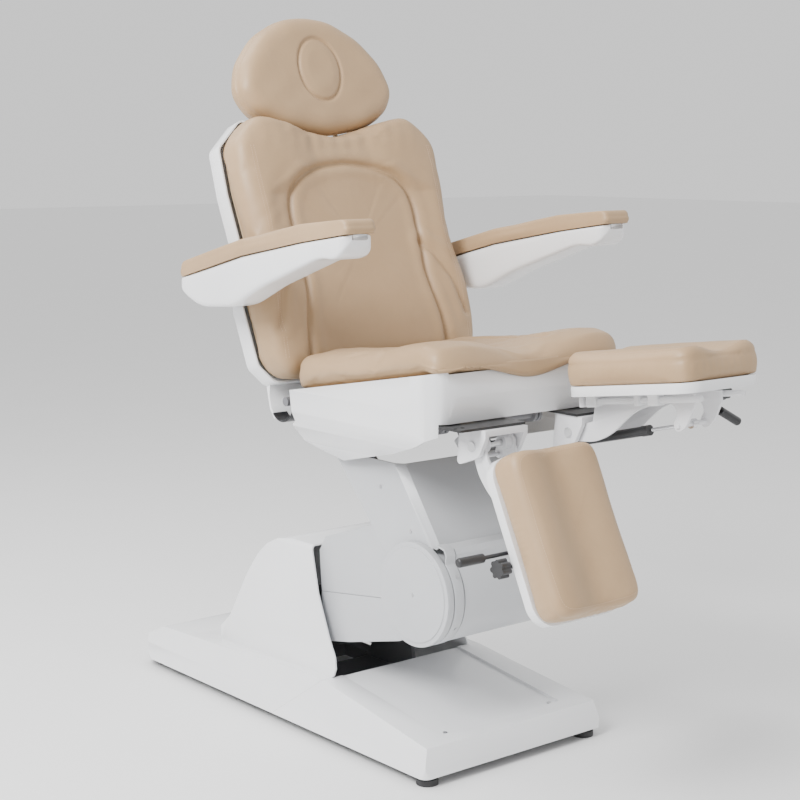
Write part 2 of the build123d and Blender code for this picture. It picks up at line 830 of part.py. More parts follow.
with BuildPart() as back_frame:
    with BuildSketch(BACK_PLANE.offset(FRAME_BACK)):
        for x in (-UPRIGHT_X, UPRIGHT_X):
            with Locations((x, 245)):
                Rectangle(UPRIGHT, 540)
        with Locations((0, ARM_PIVOT[0]), (0, 503)):
            Rectangle(2 * UPRIGHT_X, UPRIGHT)
    extrude(amount=UPRIGHT)
    with BuildSketch(Plane.YZ):
        with Locations(BACK_HINGE):
            Circle(17)
    extrude(amount=200, both=True)
    with BuildSketch(Plane.YZ):
        with Locations(back_point(*ARM_PIVOT)):
            Circle(11)
    extrude(amount=ARM_INNER + 30, both=True)
    for x in (BACK_X - 10, BACK_X + 10):
        with BuildSketch(Plane.YZ.offset(x)):
            with Locations(BACK_HINGE):
                Circle(17)
            with Locations(BACK_PIN):
                Circle(9)
            make_hull()
        extrude(amount=2, both=True)
    with BuildSketch(Plane.YZ.offset(BACK_X)):
        with Locations(BACK_PIN):
            Circle(4)
    extrude(amount=11, both=True)
    for x in (-POST_X, POST_X):
        socket_low, socket_high = back_point(440, HEAD_PIVOT[1]), back_point(560, HEAD_PIVOT[1])
        with BuildSketch(toward(socket_low, socket_high, x)):
            Circle(12)
        extrude(amount=120)
        with BuildSketch(toward(socket_low, socket_high, x).offset(-1)):
            Circle(POST_R + RUNNING)
        extrude(amount=130, mode=Mode.SUBTRACT)
    with BuildSketch(Plane.YZ):
        with Locations(BACK_HINGE):
            Circle(BACK_SHAFT_R + RUNNING)
    extrude(amount=260, both=True, mode=Mode.SUBTRACT)
save(back_frame, "back_frame")


def back_outline(grow):
    """Waisted outline of the backrest with two shoulder lobes, grown by grow."""
    with BuildSketch() as outline:
        with BuildLine():
            half = [(255, 20), (290, 60), (300, 190), (276, 328), (285, 443), (284, 548), (215, 612)]
            Polyline(*half, (0, 565), *[(-x, y) for x, y in reversed(half)], close=True)
        make_face()
        fillet(vertices(), 24)
        if grow:
            offset(amount=grow, kind=Kind.INTERSECTION)
    return outline.sketch


with BuildPart() as back_shell:
    with BuildSketch(BACK_PLANE.offset(SHELL_BACK)):
        add(back_outline(3))
    extrude(amount=CUSHION_BACK - 2 - SHELL_BACK)
    with BuildSketch(BACK_PLANE.offset(SHELL_BACK + WALL)):
        add(back_outline(-1))
    extrude(amount=BACK_THICK, mode=Mode.SUBTRACT)
    with BuildSketch(Plane.YZ):
        with BuildLine():
            Polyline((204, 779), (198, 752), (189, 715), (173, 694), (167, 698), (183, 718), (190, 745), (186, 782),
                     close=True)
        make_face()
    extrude(amount=252, both=True)
    with BuildSketch(Plane.YZ):
        with Locations(back_point(*ARM_PIVOT)):
            Circle(13)
    extrude(amount=400, both=True, mode=Mode.SUBTRACT)
    for x in (-POST_X, POST_X):
        with BuildSketch(toward(socket_high, back_point(*HEAD_PIVOT), x)):
            Circle(13)
        extrude(amount=90, mode=Mode.SUBTRACT)
    with BuildSketch(BACK_PLANE.offset(FRAME_BACK - 1)):
        with Locations((-UPRIGHT_X, 0), (UPRIGHT_X, 0)):
            Rectangle(UPRIGHT + 2, 80)
    extrude(amount=UPRIGHT + 2, mode=Mode.SUBTRACT)
    with BuildSketch(Plane.XY.offset(670)):
        with Locations((BACK_X, 185)):
            Rectangle(34, 60)
    extrude(amount=60, mode=Mode.SUBTRACT)
save(back_shell, "back_shell")

with BuildPart() as back_board:
    with BuildSketch(BACK_PLANE.offset(FRAME_BACK + UPRIGHT)):
        add(back_outline(-12))
    extrude(amount=CUSHION_BACK - FRAME_BACK - UPRIGHT - 0.5)
save(back_board, "back_board")

with BuildPart() as back_cushion:
    with BuildSketch(BACK_PLANE.offset(CUSHION_BACK)):
        add(back_outline(0))
    extrude(amount=BACK_THICK - CROWN)
    with BuildSketch(BACK_PLANE.offset(CUSHION_BACK + BACK_THICK - CROWN)):
        add(back_outline(-CROWN))
    extrude(amount=CROWN)
save(back_cushion, "back_cushion")

HINGE_COVER_R = 44
with BuildPart() as back_hinge_cover:
    with BuildSketch(Plane.YZ):
        with Locations(BACK_HINGE):
            Circle(HINGE_COVER_R)
            Circle(HINGE_COVER_R - 3, mode=Mode.SUBTRACT)
    extrude(amount=256, both=True)
    for side in (-1, 1):
        with BuildSketch(Plane.YZ.offset(side * 171)):
            with Locations(BACK_HINGE):
                Circle(HINGE_COVER_R + 5)
        extrude(amount=side * 47, mode=Mode.SUBTRACT)
    with BuildSketch(Plane.YZ):
        with BuildLine():
            Polyline((140, 748), (178, 700), (260, 700), (260, 900), (60, 900), (112, 752), close=True)
        make_face()
    extrude(amount=300, both=True, mode=Mode.SUBTRACT)
save(back_hinge_cover, "back_hinge_cover")

# ---------------------------------------------------------------- headrest

head_axis = back_point(*HEAD_PIVOT)
with BuildPart() as headrest_posts:
    for x in (-POST_X, POST_X):
        with BuildSketch(toward(back_point(460, HEAD_PIVOT[1]), head_axis, x)):
            Circle(POST_R)
        extrude(amount=HEAD_PIVOT[0] - 460)
    with BuildSketch(Plane.YZ):
        with Locations(head_axis):
            Circle(9)
    extrude(amount=POST_X + 11, both=True)
    with BuildSketch(Plane.YZ):
        with Locations(head_axis):
            Circle(5)
    extrude(amount=84, both=True)
save(headrest_posts, "headrest_posts")

HEAD_FRONT = 22
HEAD_REAR = -78
HEAD_POCKET = -36.5
with BuildPart() as headrest_board:
    with BuildSketch(BACK_PLANE.offset(HEAD_POCKET - 4.5)):
        with Locations((0, 722)):
            Rectangle(180, 134)
    extrude(amount=4)
    for x in (-73, 73):
        with BuildSketch(Plane.YZ.offset(x)):
            with Locations(head_axis):
                Circle(11)
            with Locations(back_point(672, HEAD_POCKET - 6)):
                Circle(5)
            make_hull()
            with Locations(head_axis):
                Circle(5 + RUNNING, mode=Mode.SUBTRACT)
        extrude(amount=3, both=True)
save(headrest_board, "headrest_board")


def head_outline(grow):
    """Mushroom outline of the headrest, grown by grow."""
    with BuildSketch() as outline:
        with BuildLine():
            half = [(110, 593), (190, 624), (221, 672), (200, 742), (140, 812), (62, 853)]
            Polyline((0, 580), *half, *[(-x, y) for x, y in reversed(half)], close=True)
        make_face()
        fillet(vertices(), 20)
        if grow:
            offset(amount=grow, kind=Kind.INTERSECTION)
    return outline.sketch


with BuildPart() as headrest_cushion:
    for start, end, grow in ((HEAD_REAR, HEAD_REAR + CROWN, -CROWN), (HEAD_REAR + CROWN, HEAD_FRONT - CROWN, 0),
                             (HEAD_FRONT - CROWN, HEAD_FRONT, -CROWN)):
        with BuildSketch(BACK_PLANE.offset(start)):
            add(head_outline(grow))
        extrude(amount=end - start)
    with BuildSketch(BACK_PLANE.offset(HEAD_REAR - 1)):
        with Locations((0, 680)):
            Rectangle(200, 232)
    extrude(amount=HEAD_POCKET - HEAD_REAR + 1, mode=Mode.SUBTRACT)
save(headrest_cushion, "headrest_cushion")

# ---------------------------------------------------------------- armrests

arm_axis = back_point(*ARM_PIVOT)
ARM_TOP = [(332, 999), (91, 1059), (-120, 1096), (-266, 1117)]
ARM_LOW = [(-265, 1089), (-239, 1065), (-185, 1069), (21, 998), (125, 951), (248, 942), (311, 966), (327, 984)]
PAD_TOP = [(-272, 1150), (-120, 1135), (91, 1097), (322, 1037)]
HUB_R = 20

for name, side in SIDES.items():
    middle = Plane.YZ.offset(side * (ARM_INNER + ARM_OUTER) / 2)
    half = (ARM_OUTER - ARM_INNER) / 2
    with BuildPart() as armrest_shell:
        with BuildSketch(middle):
            Polygon(*(ARM_TOP + ARM_LOW), align=None)
        extrude(amount=half, both=True)
        with BuildSketch(middle):
            Polygon(*(ARM_TOP + ARM_LOW), align=None)
            offset(amount=-SHELL_WALL)
        extrude(amount=half - SHELL_WALL, both=True, mode=Mode.SUBTRACT)
        with BuildSketch(middle):
            with Locations(arm_axis):
                Circle(HUB_R)
        extrude(amount=-side * half, mode=Mode.SUBTRACT)
    save(armrest_shell, f"armrest_shell_{name}")

    with BuildPart() as armrest_pad:
        with BuildSketch(middle):
            Polygon(*([(y, z + 0.3) for y, z in ARM_TOP] + PAD_TOP), align=None)
        extrude(amount=half, both=True)
        fillet(armrest_pad.edges().filter_by(Axis.X).group_by(Axis.Y)[-1].sort_by(Axis.Z)[-1], 8)
    save(armrest_pad, f"armrest_pad_{name}")

    with BuildPart() as armrest_pivot:
        with BuildSketch(Plane.YZ.offset(side * (ARM_INNER - 4))):
            with Locations(arm_axis):
                Circle(HUB_R)
                Circle(11 + RUNNING, mode=Mode.SUBTRACT)
        extrude(amount=side * 36)
        with BuildSketch(Plane.YZ.offset(side * (ARM_INNER + 32))):
            with Locations(arm_axis):
                Circle(HUB_R)
        extrude(amount=side * 6)
    save(armrest_pivot, f"armrest_pivot_{name}")

# ---------------------------------------------------------------- leg rests

CHEEK_IN = 46
CHEEK_OUT = 56
PIN_R = 7
ARM_PLATE_IN = 36
ARM_PLATE_OUT = 42
CROSSBAR_U = (62, 211)
SLEEVE_U = (87, 252)
KNOB_R = 19
LEVER_U = 225
ANCHOR = (LEG_PIVOT[0] + GAS_ANCHOR[0], LEG_PIVOT[1] + GAS_ANCHOR[1])
LEG_POSE = {"left": RAISED, "right": HANGING}
LEVER_DROOP = {"left": 28, "right": 0}

for name, side in SIDES.items():
    x0 = side * LEG_X
    angle = LEG_POSE[name]
    s, c = sin(radians(angle)), cos(radians(angle))
    along = Vector(0, -c, s)
    above = Vector(0, s, c)
    foot = Vector(x0, *LEG_PIVOT)
    profile = Plane(origin=foot, x_dir=along, z_dir=(-1, 0, 0))
    deck = Plane(origin=foot, x_dir=(1, 0, 0), z_dir=above)
    section = Plane(origin=foot, x_dir=(1, 0, 0), z_dir=along)
    upright = Plane.YZ.offset(x0)

    with BuildPart() as leg_bracket:
        with BuildSketch(Plane.XY.offset(728.5)):
            with Locations((x0, LEG_PIVOT[0])):
                Rectangle(2 * CHEEK_OUT, 76)
                Circle(8 + RUNNING, mode=Mode.SUBTRACT)
        extrude(amount=12)
        for near in (-CHEEK_OUT, CHEEK_IN):
            with BuildSketch(upright.offset(near)):
                with Locations(LEG_PIVOT):
                    Circle(25)
                with Locations(ANCHOR):
                    Circle(8)
                with Locations((LEG_PIVOT[0], 727)):
                    Rectangle(76, 4)
                make_hull()
            extrude(amount=CHEEK_OUT - CHEEK_IN)
        with BuildSketch(upright):
            with Locations(LEG_PIVOT):
                Circle(PIN_R)
        extrude(amount=100, both=True, mode=Mode.SUBTRACT)
        with BuildSketch(upright):
            with Locations(ANCHOR):
                Circle(4)
        extrude(amount=CHEEK_IN + 2, both=True)
    save(leg_bracket, f"leg_bracket_{name}")

    with BuildPart() as leg_pivot_pin:
        with BuildSketch(upright):
            with Locations(LEG_PIVOT):
                Circle(PIN_R)
        extrude(amount=CHEEK_OUT, both=True)
        for end in (-1, 1):
            with BuildSketch(upright.offset(end * CHEEK_OUT)):
                with Locations(LEG_PIVOT):
                    Circle(10)
            extrude(amount=end * 3)
    save(leg_pivot_pin, f"leg_pivot_pin_{name}")

    with BuildPart() as leg_arm:
        for near in (-ARM_PLATE_OUT, ARM_PLATE_IN):
            with BuildSketch(profile.offset(near)):
                with BuildLine():
                    Polyline((-2, 18), (34, 16), (58, 20), (74, 70), (330, 70), (330, 58))
                    Spline((330, 58), (320, 32), (298, 4), (280, 0), (274, 12), (284, 30), (280, 46), (256, 52),
                           tangents=((0, -1), (-1, 0)))
                    Spline((256, 52), (168, 34), (110, -3), (60, -20), (-2, -20), tangents=((-1, 0), (-1, 0)))
                    Line((-2, -20), (-2, 18))
                make_face()
                with Locations((0, 0)):
                    Circle(20)
            extrude(amount=ARM_PLATE_OUT - ARM_PLATE_IN)
        for near in (-45, 20):
            with BuildSketch(profile.offset(near)):
                Circle(15)
            extrude(amount=25)
        for u in CROSSBAR_U:
            with BuildSketch(section.offset(u - 6)):
                with Locations((side * 4, ROD_W)):
                    Rectangle(2 * 78, 20)
            extrude(amount=12)
        with BuildSketch(section.offset(CROSSBAR_U[0] - 6)):
            with Locations((-ROD_X, ROD_W), (ROD_X, ROD_W)):
                Circle(ROD_R)
        extrude(amount=366 - CROSSBAR_U[0] + 6)
        with BuildSketch(section.offset(CROSSBAR_U[1])):
            with Locations((side * 84, 58)):
                Circle(3)
        extrude(amount=LEVER_U + 8 - CROSSBAR_U[1])
        with BuildSketch(profile):
            with Locations(HOOK):
                Circle(5)
        extrude(amount=ARM_PLATE_OUT + 5, both=True)
        with BuildSketch(profile):
            Circle(PIN_R + RUNNING)
        extrude(amount=80, both=True, mode=Mode.SUBTRACT)
    save(leg_arm, f"leg_arm_{name}")

    with BuildPart() as leg_tray:
        with BuildSketch(deck.offset(TRAY_LOW)):
            with Locations((0, -TRAY_START - TRAY_LENGTH / 2)):
                RectangleRounded(TRAY_WIDTH, TRAY_LENGTH, 45)
        extrude(amount=TRAY_T)
        for u in SLEEVE_U:
            with BuildSketch(section.offset(u - 12)):
                with Locations((-ROD_X, ROD_W + 2), (ROD_X, ROD_W + 2)):
                    Rectangle(22, 25)
                with Locations((-ROD_X, ROD_W), (ROD_X, ROD_W)):
                    Circle(ROD_R + RUNNING, mode=Mode.SUBTRACT)
            extrude(amount=24)
        with BuildSketch(profile.offset(-side * (ROD_X + ROD_R + 1))):
            with Locations((SLEEVE_U[1], ROD_W)):
                Circle(4 + RUNNING)
        extrude(amount=-side * 10, mode=Mode.SUBTRACT)
    save(leg_tray, f"leg_tray_{name}")

    with BuildPart() as calf_pad:
        with BuildSketch(section.offset(TRAY_START)):
            low = TRAY_LOW + TRAY_T + 0.3
            with BuildLine():
                Polyline((-110, 150), (-115, 140), (-115, low), (115, low), (115, 140), (110, 150))
                Spline((110, 150), (82, 172), (0, 150), (-82, 172), (-110, 150), tangents=((-1, 1), (-1, -1)))
            make_face()
        extrude(amount=TRAY_LENGTH)
        with BuildSketch(deck.offset(TRAY_LOW)):
            with Locations((0, -TRAY_START - TRAY_LENGTH / 2)):
                RectangleRounded(TRAY_WIDTH, TRAY_LENGTH, 45)
        extrude(amount=200, mode=Mode.INTERSECT)
    save(calf_pad, f"calf_pad_{name}")

    hook_row = leg_point(angle, *HOOK)
    gas_length = hypot(hook_row[0] - ANCHOR[0], hook_row[1] - ANCHOR[1])
    gas_line = toward(ANCHOR, hook_row, x0)
    barrel_end = 215
    print(name, "gas length", gas_length, "hook", hook_row, "anchor", ANCHOR)
    with BuildPart() as gas_cylinder:
        with BuildSketch(gas_line.offset(18)):
            Circle(10)
        extrude(amount=barrel_end - 38)
        with BuildSketch(gas_line.offset(barrel_end - 20)):
            Circle(11)
        extrude(amount=20)
        with BuildSketch(gas_line.offset(30)):
            Circle(4 + RUNNING)
        extrude(amount=barrel_end, mode=Mode.SUBTRACT)
    save(gas_cylinder, f"gas_cylinder_{name}")

    with BuildPart() as gas_rod:
        rod_inner = gas_length - 196
        with BuildSketch(gas_line.offset(rod_inner)):
            Circle(4)
        extrude(amount=gas_length - rod_inner - 6)
        with BuildSketch(profile):
            with Locations(HOOK):
                Circle(9.5)
        extrude(amount=7, both=True)
        with BuildSketch(profile):
            with Locations(HOOK):
                Circle(5 + RUNNING)
        extrude(amount=20, both=True, mode=Mode.SUBTRACT)
    save(gas_rod, f"gas_rod_{name}")

    with BuildPart() as clamp_knob:
        stem = profile.offset(-side * (ROD_X + ROD_R + 1))
        with BuildSketch(stem):
            with Locations((SLEEVE_U[1], ROD_W)):
                Circle(4)
        extrude(amount=-side * 52)
        with BuildSketch(profile.offset(-side * 120)):
            with Locations((SLEEVE_U[1], ROD_W)):
                Circle(KNOB_R - 4)
                with PolarLocations(KNOB_R - 5, 7):
                    Circle(5)
        extrude(amount=-side * 22)
    save(clamp_knob, f"clamp_knob_{name}")

    droop = radians(LEVER_DROOP[name])
    pin = foot + along * (LEVER_U - 7) + above * 58 + Vector(side * 84, 0, 0)
    out = Vector(side * cos(droop), 0, 0) - above * sin(droop)
    with BuildPart() as release_lever:
        with BuildSketch(Plane(origin=pin, x_dir=(1, 0, 0), z_dir=along)):
            Circle(8)
            Circle(3 + RUNNING, mode=Mode.SUBTRACT)
        extrude(amount=14)
        with BuildSketch(Plane(origin=pin + along * 7 + out * 6, x_dir=along, z_dir=out)):
            Circle(4)
        extrude(amount=80)
        with BuildSketch(Plane(origin=pin + along * 7 + out * 80, x_dir=along, z_dir=out)):
            Circle(9)
        extrude(amount=62)
        fillet(release_lever.edges().filter_by(GeomType.CIRCLE).sort_by(Axis.X)[-1 if side > 0 else 0], 5)
    save(release_lever, f"release_lever_{name}")
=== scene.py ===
"""Electric treatment bed with a two-arm knee lift, split leg rests and tan upholstery.

Each section makes one piece of the bed, or one group of like pieces, in the order it is put together.
"""
import math

import bpy
import numpy as np
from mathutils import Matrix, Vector
from mathutils.bvhtree import BVHTree


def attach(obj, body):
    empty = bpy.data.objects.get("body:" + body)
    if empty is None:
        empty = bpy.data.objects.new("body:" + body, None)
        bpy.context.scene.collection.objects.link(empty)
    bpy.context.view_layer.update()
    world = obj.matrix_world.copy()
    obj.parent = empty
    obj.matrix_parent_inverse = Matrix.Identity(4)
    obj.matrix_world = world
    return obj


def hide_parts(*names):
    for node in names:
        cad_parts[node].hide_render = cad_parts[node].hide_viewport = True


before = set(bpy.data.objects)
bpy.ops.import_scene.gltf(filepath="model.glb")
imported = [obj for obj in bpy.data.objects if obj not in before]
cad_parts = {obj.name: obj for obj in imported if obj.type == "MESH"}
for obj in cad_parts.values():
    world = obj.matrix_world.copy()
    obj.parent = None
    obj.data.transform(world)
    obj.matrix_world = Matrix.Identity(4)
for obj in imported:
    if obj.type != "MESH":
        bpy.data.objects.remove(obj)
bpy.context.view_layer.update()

# ------------------------------------------------------------------ base casing
# The floor casing, its hump, the seat shell, back shell and leg trays are vacuum-formed
# white plastic, glossy with a faint orange peel, trimmed with a small rounded edge.


class Tone:
    """A shader socket that can be added, taken away and multiplied like a number."""

    def __init__(self, tree, socket=None):
        self.tree, self.socket = tree, socket

    def node(self, kind, settings={}, values={}, out=0):
        made = self.tree.nodes.new("ShaderNode" + kind)
        for name, value in settings.items():
            if name == "stops":
                ramp = made.color_ramp.elements
                while len(ramp) < len(value):
                    ramp.new(0.5)
                for stop, (place, colour) in zip(ramp, value):
                    stop.position, stop.color = place, (*colour, 1)
            else:
                setattr(made, name, value)
        for name, value in values.items():
            if isinstance(value, Tone):
                self.tree.links.new(value.socket, made.inputs[name])
            else:
                made.inputs[name].default_value = value
        return Tone(self.tree, made.outputs[out])

    def sum(self, operation, a, b):
        return self.node("Math", {"operation": operation}, {0: a, 1: b})

    def __add__(self, other):
        return self.sum("ADD", self, other)

    __radd__ = __add__

    def __sub__(self, other):
        return self.sum("SUBTRACT", self, other)

    def __rsub__(self, other):
        return self.sum("SUBTRACT", other, self)

    def __mul__(self, other):
        return self.sum("MULTIPLY", self, other)

    __rmul__ = __mul__

    def into(self, shader, name):
        self.tree.links.new(self.socket, shader.inputs[name])


def new_finish(name, **fixed):
    """A material, its starting tone and its shader, with the constant values set on the shader."""
    material = bpy.data.materials.new(name)
    material.use_nodes = True
    shader = material.node_tree.nodes["Principled BSDF"]
    for socket, value in fixed.items():
        shader.inputs[socket.replace("_", " ")].default_value = value
    return material, Tone(material.node_tree), shader


def rough_cast(name, light, dark, rough, spread, grain, depth, blotch=4.0, **fixed):
    """A painted or moulded surface: slow drift of colour and gloss over a fine surface texture."""
    material, tone, shader = new_finish(name, **fixed)
    place = tone.node("TexCoord", out="Object")
    drift = tone.node("TexNoise", {}, {"Vector": place, "Scale": blotch, "Detail": 3.0, "Roughness": 0.5})
    tone.node("ValToRGB", {"stops": [(0.3, dark), (0.7, light)]}, {"Fac": drift}).into(shader, "Base Color")
    (rough + (drift - 0.5) * spread).into(shader, "Roughness")
    fine = tone.node("TexNoise", {}, {"Vector": place, "Scale": grain, "Detail": 2.0})
    tone.node("Bump", {}, {"Height": fine, "Strength": 0.6, "Distance": depth}).into(shader, "Normal")
    return material


def dress(node, material):
    """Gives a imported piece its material."""
    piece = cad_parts[node]
    piece.data.materials.clear()
    piece.data.materials.append(material)
    return piece


WELD_REACH = 0.00002
FLAT_ANGLE = math.radians(0.6)
SHARP_ANGLE = math.radians(32)


def trimmed(node, material, width, steps=3):
    """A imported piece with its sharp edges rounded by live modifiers."""
    piece = dress(node, material)
    piece.modifiers.new("weld", "WELD").merge_threshold = WELD_REACH
    flat = piece.modifiers.new("flat", "DECIMATE")
    flat.decimate_type, flat.angle_limit = "DISSOLVE", FLAT_ANGLE
    edge = piece.modifiers.new("edge", "BEVEL")
    edge.width, edge.segments, edge.angle_limit = width, steps, SHARP_ANGLE
    edge.limit_method, edge.harden_normals = "ANGLE", True
    piece.data.polygons.foreach_set("use_smooth", [True] * len(piece.data.polygons))
    return piece


white_gloss = rough_cast("white gloss plastic", (0.86, 0.865, 0.875), (0.82, 0.825, 0.84), 0.24, 0.10,
                         900.0, 0.00004, Coat_Weight=0.35, Coat_Roughness=0.08)
for node in ("front_base_cover", "rear_base_cover"):
    trimmed(node, white_gloss, 0.004)

# ------------------------------------------------------------------ feet, frame and actuators
# Round rubber levelling feet under a dark powder-coated steel frame, with black actuator
# tubes and bright rods, a black appliance inlet and zinc-plated screws.

rubber = rough_cast("black foot rubber", (0.035, 0.035, 0.037), (0.02, 0.02, 0.021), 0.62, 0.15, 500.0, 0.00012)
dark_paint = rough_cast("dark powder coat", (0.19, 0.19, 0.20), (0.15, 0.15, 0.16), 0.48, 0.12, 1400.0, 0.00005)
black_paint = rough_cast("black powder coat", (0.03, 0.03, 0.031), (0.018, 0.018, 0.019), 0.34, 0.12,
                         1400.0, 0.00005)
black_plastic = rough_cast("black moulded plastic", (0.028, 0.028, 0.03), (0.016, 0.016, 0.018), 0.40, 0.14,
                           1100.0, 0.00006)
chrome = rough_cast("bright chrome", (0.80, 0.80, 0.81), (0.72, 0.72, 0.73), 0.10, 0.08, 700.0, 0.00001,
                    Metallic=1.0)
zinc = rough_cast("zinc plate", (0.66, 0.66, 0.67), (0.50, 0.50, 0.52), 0.30, 0.15, 600.0, 0.00002, Metallic=1.0)
board = rough_cast("birch plywood", (0.66, 0.52, 0.35), (0.50, 0.37, 0.22), 0.60, 0.15, 300.0, 0.00010)
for node, material in (("levelling_feet", rubber), ("base_frame", dark_paint), ("lift_motor", black_plastic),
                       ("lift_rod", chrome), ("power_inlet", black_plastic), ("deck_screws", zinc)):
    dress(node, material)

# ------------------------------------------------------------------ lift arms
# Two-part moulded covers in pale grey over steel plates, a round drum over the knee with
# raised end caps, and small pan-head screws.

grey_panel = rough_cast("pale grey panel", (0.52, 0.53, 0.545), (0.48, 0.49, 0.51), 0.30, 0.10, 1000.0, 0.00004,
                        Coat_Weight=0.2, Coat_Roughness=0.12)
for node in ("lower_arm_upper_cover", "lower_arm_lower_cover", "upper_arm_cover", "knee_drum", "knee_bands"):
    trimmed(node, grey_panel, 0.002)
trimmed("knee_side_caps", grey_panel, 0.004)
for node, material in (("lower_arm_frame", dark_paint), ("upper_arm_frame", dark_paint), ("upper_arm_shafts", zinc),
                       ("arm_cover_screws", zinc), ("carriage_frame", dark_paint), ("tilt_motor", black_plastic),
                       ("tilt_rod", chrome)):
    dress(node, material)

# ------------------------------------------------------------------ seat shell and frame
# A deep white shell hangs round the seat frame; black steel plates at its front carry the legs.

trimmed("seat_shell", white_gloss, 0.004)
for node, material in (("seat_frame", dark_paint), ("seat_board", board), ("leg_mount_plates", black_paint),
                       ("back_motor", black_plastic), ("back_rod", chrome)):
    dress(node, material)

# ------------------------------------------------------------------ seat cushion
# Foam under soft tan artificial leather, higher in two bolsters at the front edge, with a
# shallow dip between them for the thighs.  The cover is sewn along the bolsters.

SEAT_RIM = 0.7845
SEAT_SLOPE = math.tan(math.radians(10))


def tan_leather(name, grain):
    """Soft pebbled cover with slow shading, sheen on the pebbles and fine creases."""
    material, tone, shader = new_finish(name, Coat_Weight=0.06, Coat_Roughness=0.35, Sheen_Weight=0.05)
    place = tone.node("TexCoord", out="Object")
    drift = tone.node("TexNoise", {}, {"Vector": place, "Scale": 5.0, "Detail": 4.0, "Roughness": 0.55})
    pebble = tone.node("TexVoronoi", {"feature": "F1"}, {"Vector": place, "Scale": grain})
    crease = tone.node("TexNoise", {}, {"Vector": place, "Scale": 60.0, "Detail": 5.0, "Distortion": 0.6})
    shade = tone.node("ValToRGB", {"stops": [(0.25, (0.400, 0.262, 0.140)), (0.75, (0.455, 0.305, 0.172))]},
                      {"Fac": drift * 0.8 + crease * 0.2})
    shade.into(shader, "Base Color")
    (0.44 + (pebble * 0.10) + (drift - 0.5) * 0.12).into(shader, "Roughness")
    height = pebble * 0.7 + crease * 0.5
    tone.node("Bump", {}, {"Height": height, "Strength": 0.5, "Distance": 0.00022}).into(shader, "Normal")
    return material


tan = tan_leather("tan artificial leather", 700.0)


def smooth(a, b, x):
    """A soft step from 0 at a to 1 at b."""
    t = np.clip((x - a) / (b - a), 0, 1)
    return t * t * (3 - 2 * t)


FINE_POINTS = 4000


def closed_curve(corners, count, radius):
    """Even points round a closed polygon whose corners are rounded by averaging over the radius."""
    corners = np.array(corners, float)
    ends = np.roll(corners, -1, axis=0)
    spans = np.linalg.norm(ends - corners, axis=1)
    mark = np.concatenate(([0], np.cumsum(spans)))
    fine = np.linspace(0, mark[-1], FINE_POINTS, endpoint=False)
    which = np.searchsorted(mark, fine, side="right") - 1
    along = ((fine - mark[which]) / spans[which])[:, None]
    points = corners[which] + (ends - corners)[which] * along
    half = max(1, int(radius / (mark[-1] / FINE_POINTS)))
    kernel = np.hanning(2 * half + 3)[1:-1]
    kernel /= kernel.sum()
    wrapped = np.concatenate((points[-half:], points, points[:half]))
    rounded = np.stack([np.convolve(wrapped[:, i], kernel, "valid") for i in (0, 1)], axis=1)
    steps = np.linalg.norm(np.roll(rounded, -1, axis=0) - rounded, axis=1)
    mark = np.concatenate(([0], np.cumsum(steps)))
    even = np.linspace(0, mark[-1], count, endpoint=False)
    closed = np.concatenate((rounded, rounded[:1]))
    return np.stack([np.interp(even, mark, closed[:, i]) for i in (0, 1)], axis=1)


SIDE_BULGE = 0.0025


def pad_form(name, outline, middle, top, low, top_round, low_round, place, rings=70):
    """A closed crowned form over an outline: a top field, a rounded shoulder, sides and an underside.

    top and low give the height at a place in the outline's plane; place moves (x, u, w) into the frame.
    """
    outline, middle = np.array(outline), np.array(middle)
    reach = np.linalg.norm(outline - middle, axis=1)[:, None]
    rows = []

    def row(inset, height):
        flat = middle + (outline - middle) * (1 - inset / reach)
        rows.append((flat, height(flat)))

    for share in np.linspace(0.03, 1, rings):
        flat = middle + (outline - middle) * ((1 - top_round / reach) * share)
        rows.append((flat, top(flat)))
    for turn in np.linspace(0, math.pi / 2, 9)[1:]:
        drop = top_round * (1 - math.cos(turn))
        row(top_round * (1 - math.sin(turn)), lambda flat: top(flat) - drop)
    for share in np.linspace(0, 1, 8)[1:-1]:
        bulge = -SIDE_BULGE * math.sin(math.pi * share)
        row(bulge, lambda flat: (top(flat) - top_round) * (1 - share) + (low(flat) + low_round) * share)
    for turn in np.linspace(math.pi / 2, 0, 5):
        lift = low_round * (1 - math.cos(turn))
        row(low_round * (1 - math.sin(turn)), lambda flat: low(flat) + lift)
    for share in np.linspace(1, 0.05, 14)[1:]:
        flat = middle + (outline - middle) * ((1 - low_round / reach) * share)
        rows.append((flat, low(flat)))
    count = len(outline)
    local = [np.column_stack((flat, height)) for flat, height in rows]
    local = np.concatenate(local + [np.array([[*middle, top(middle[None])[0]], [*middle, low(middle[None])[0]]])])
    faces = []
    for r in range(len(rows) - 1):
        for i in range(count):
            j = (i + 1) % count
            faces.append((r * count + i, (r + 1) * count + i, (r + 1) * count + j, r * count + j))
    top_pole, low_pole = len(rows) * count, len(rows) * count + 1
    last = (len(rows) - 1) * count
    for i in range(count):
        j = (i + 1) % count
        faces.append((top_pole, i, j))
        faces.append((low_pole, last + j, last + i))
    mesh = bpy.data.meshes.new(name)
    mesh.from_pydata(place(local).tolist(), [], faces)
    mesh.polygons.foreach_set("use_smooth", [True] * len(mesh.polygons))
    piece = bpy.data.objects.new(name, mesh)
    bpy.context.scene.collection.objects.link(piece)
    face_outwards(mesh)
    return piece


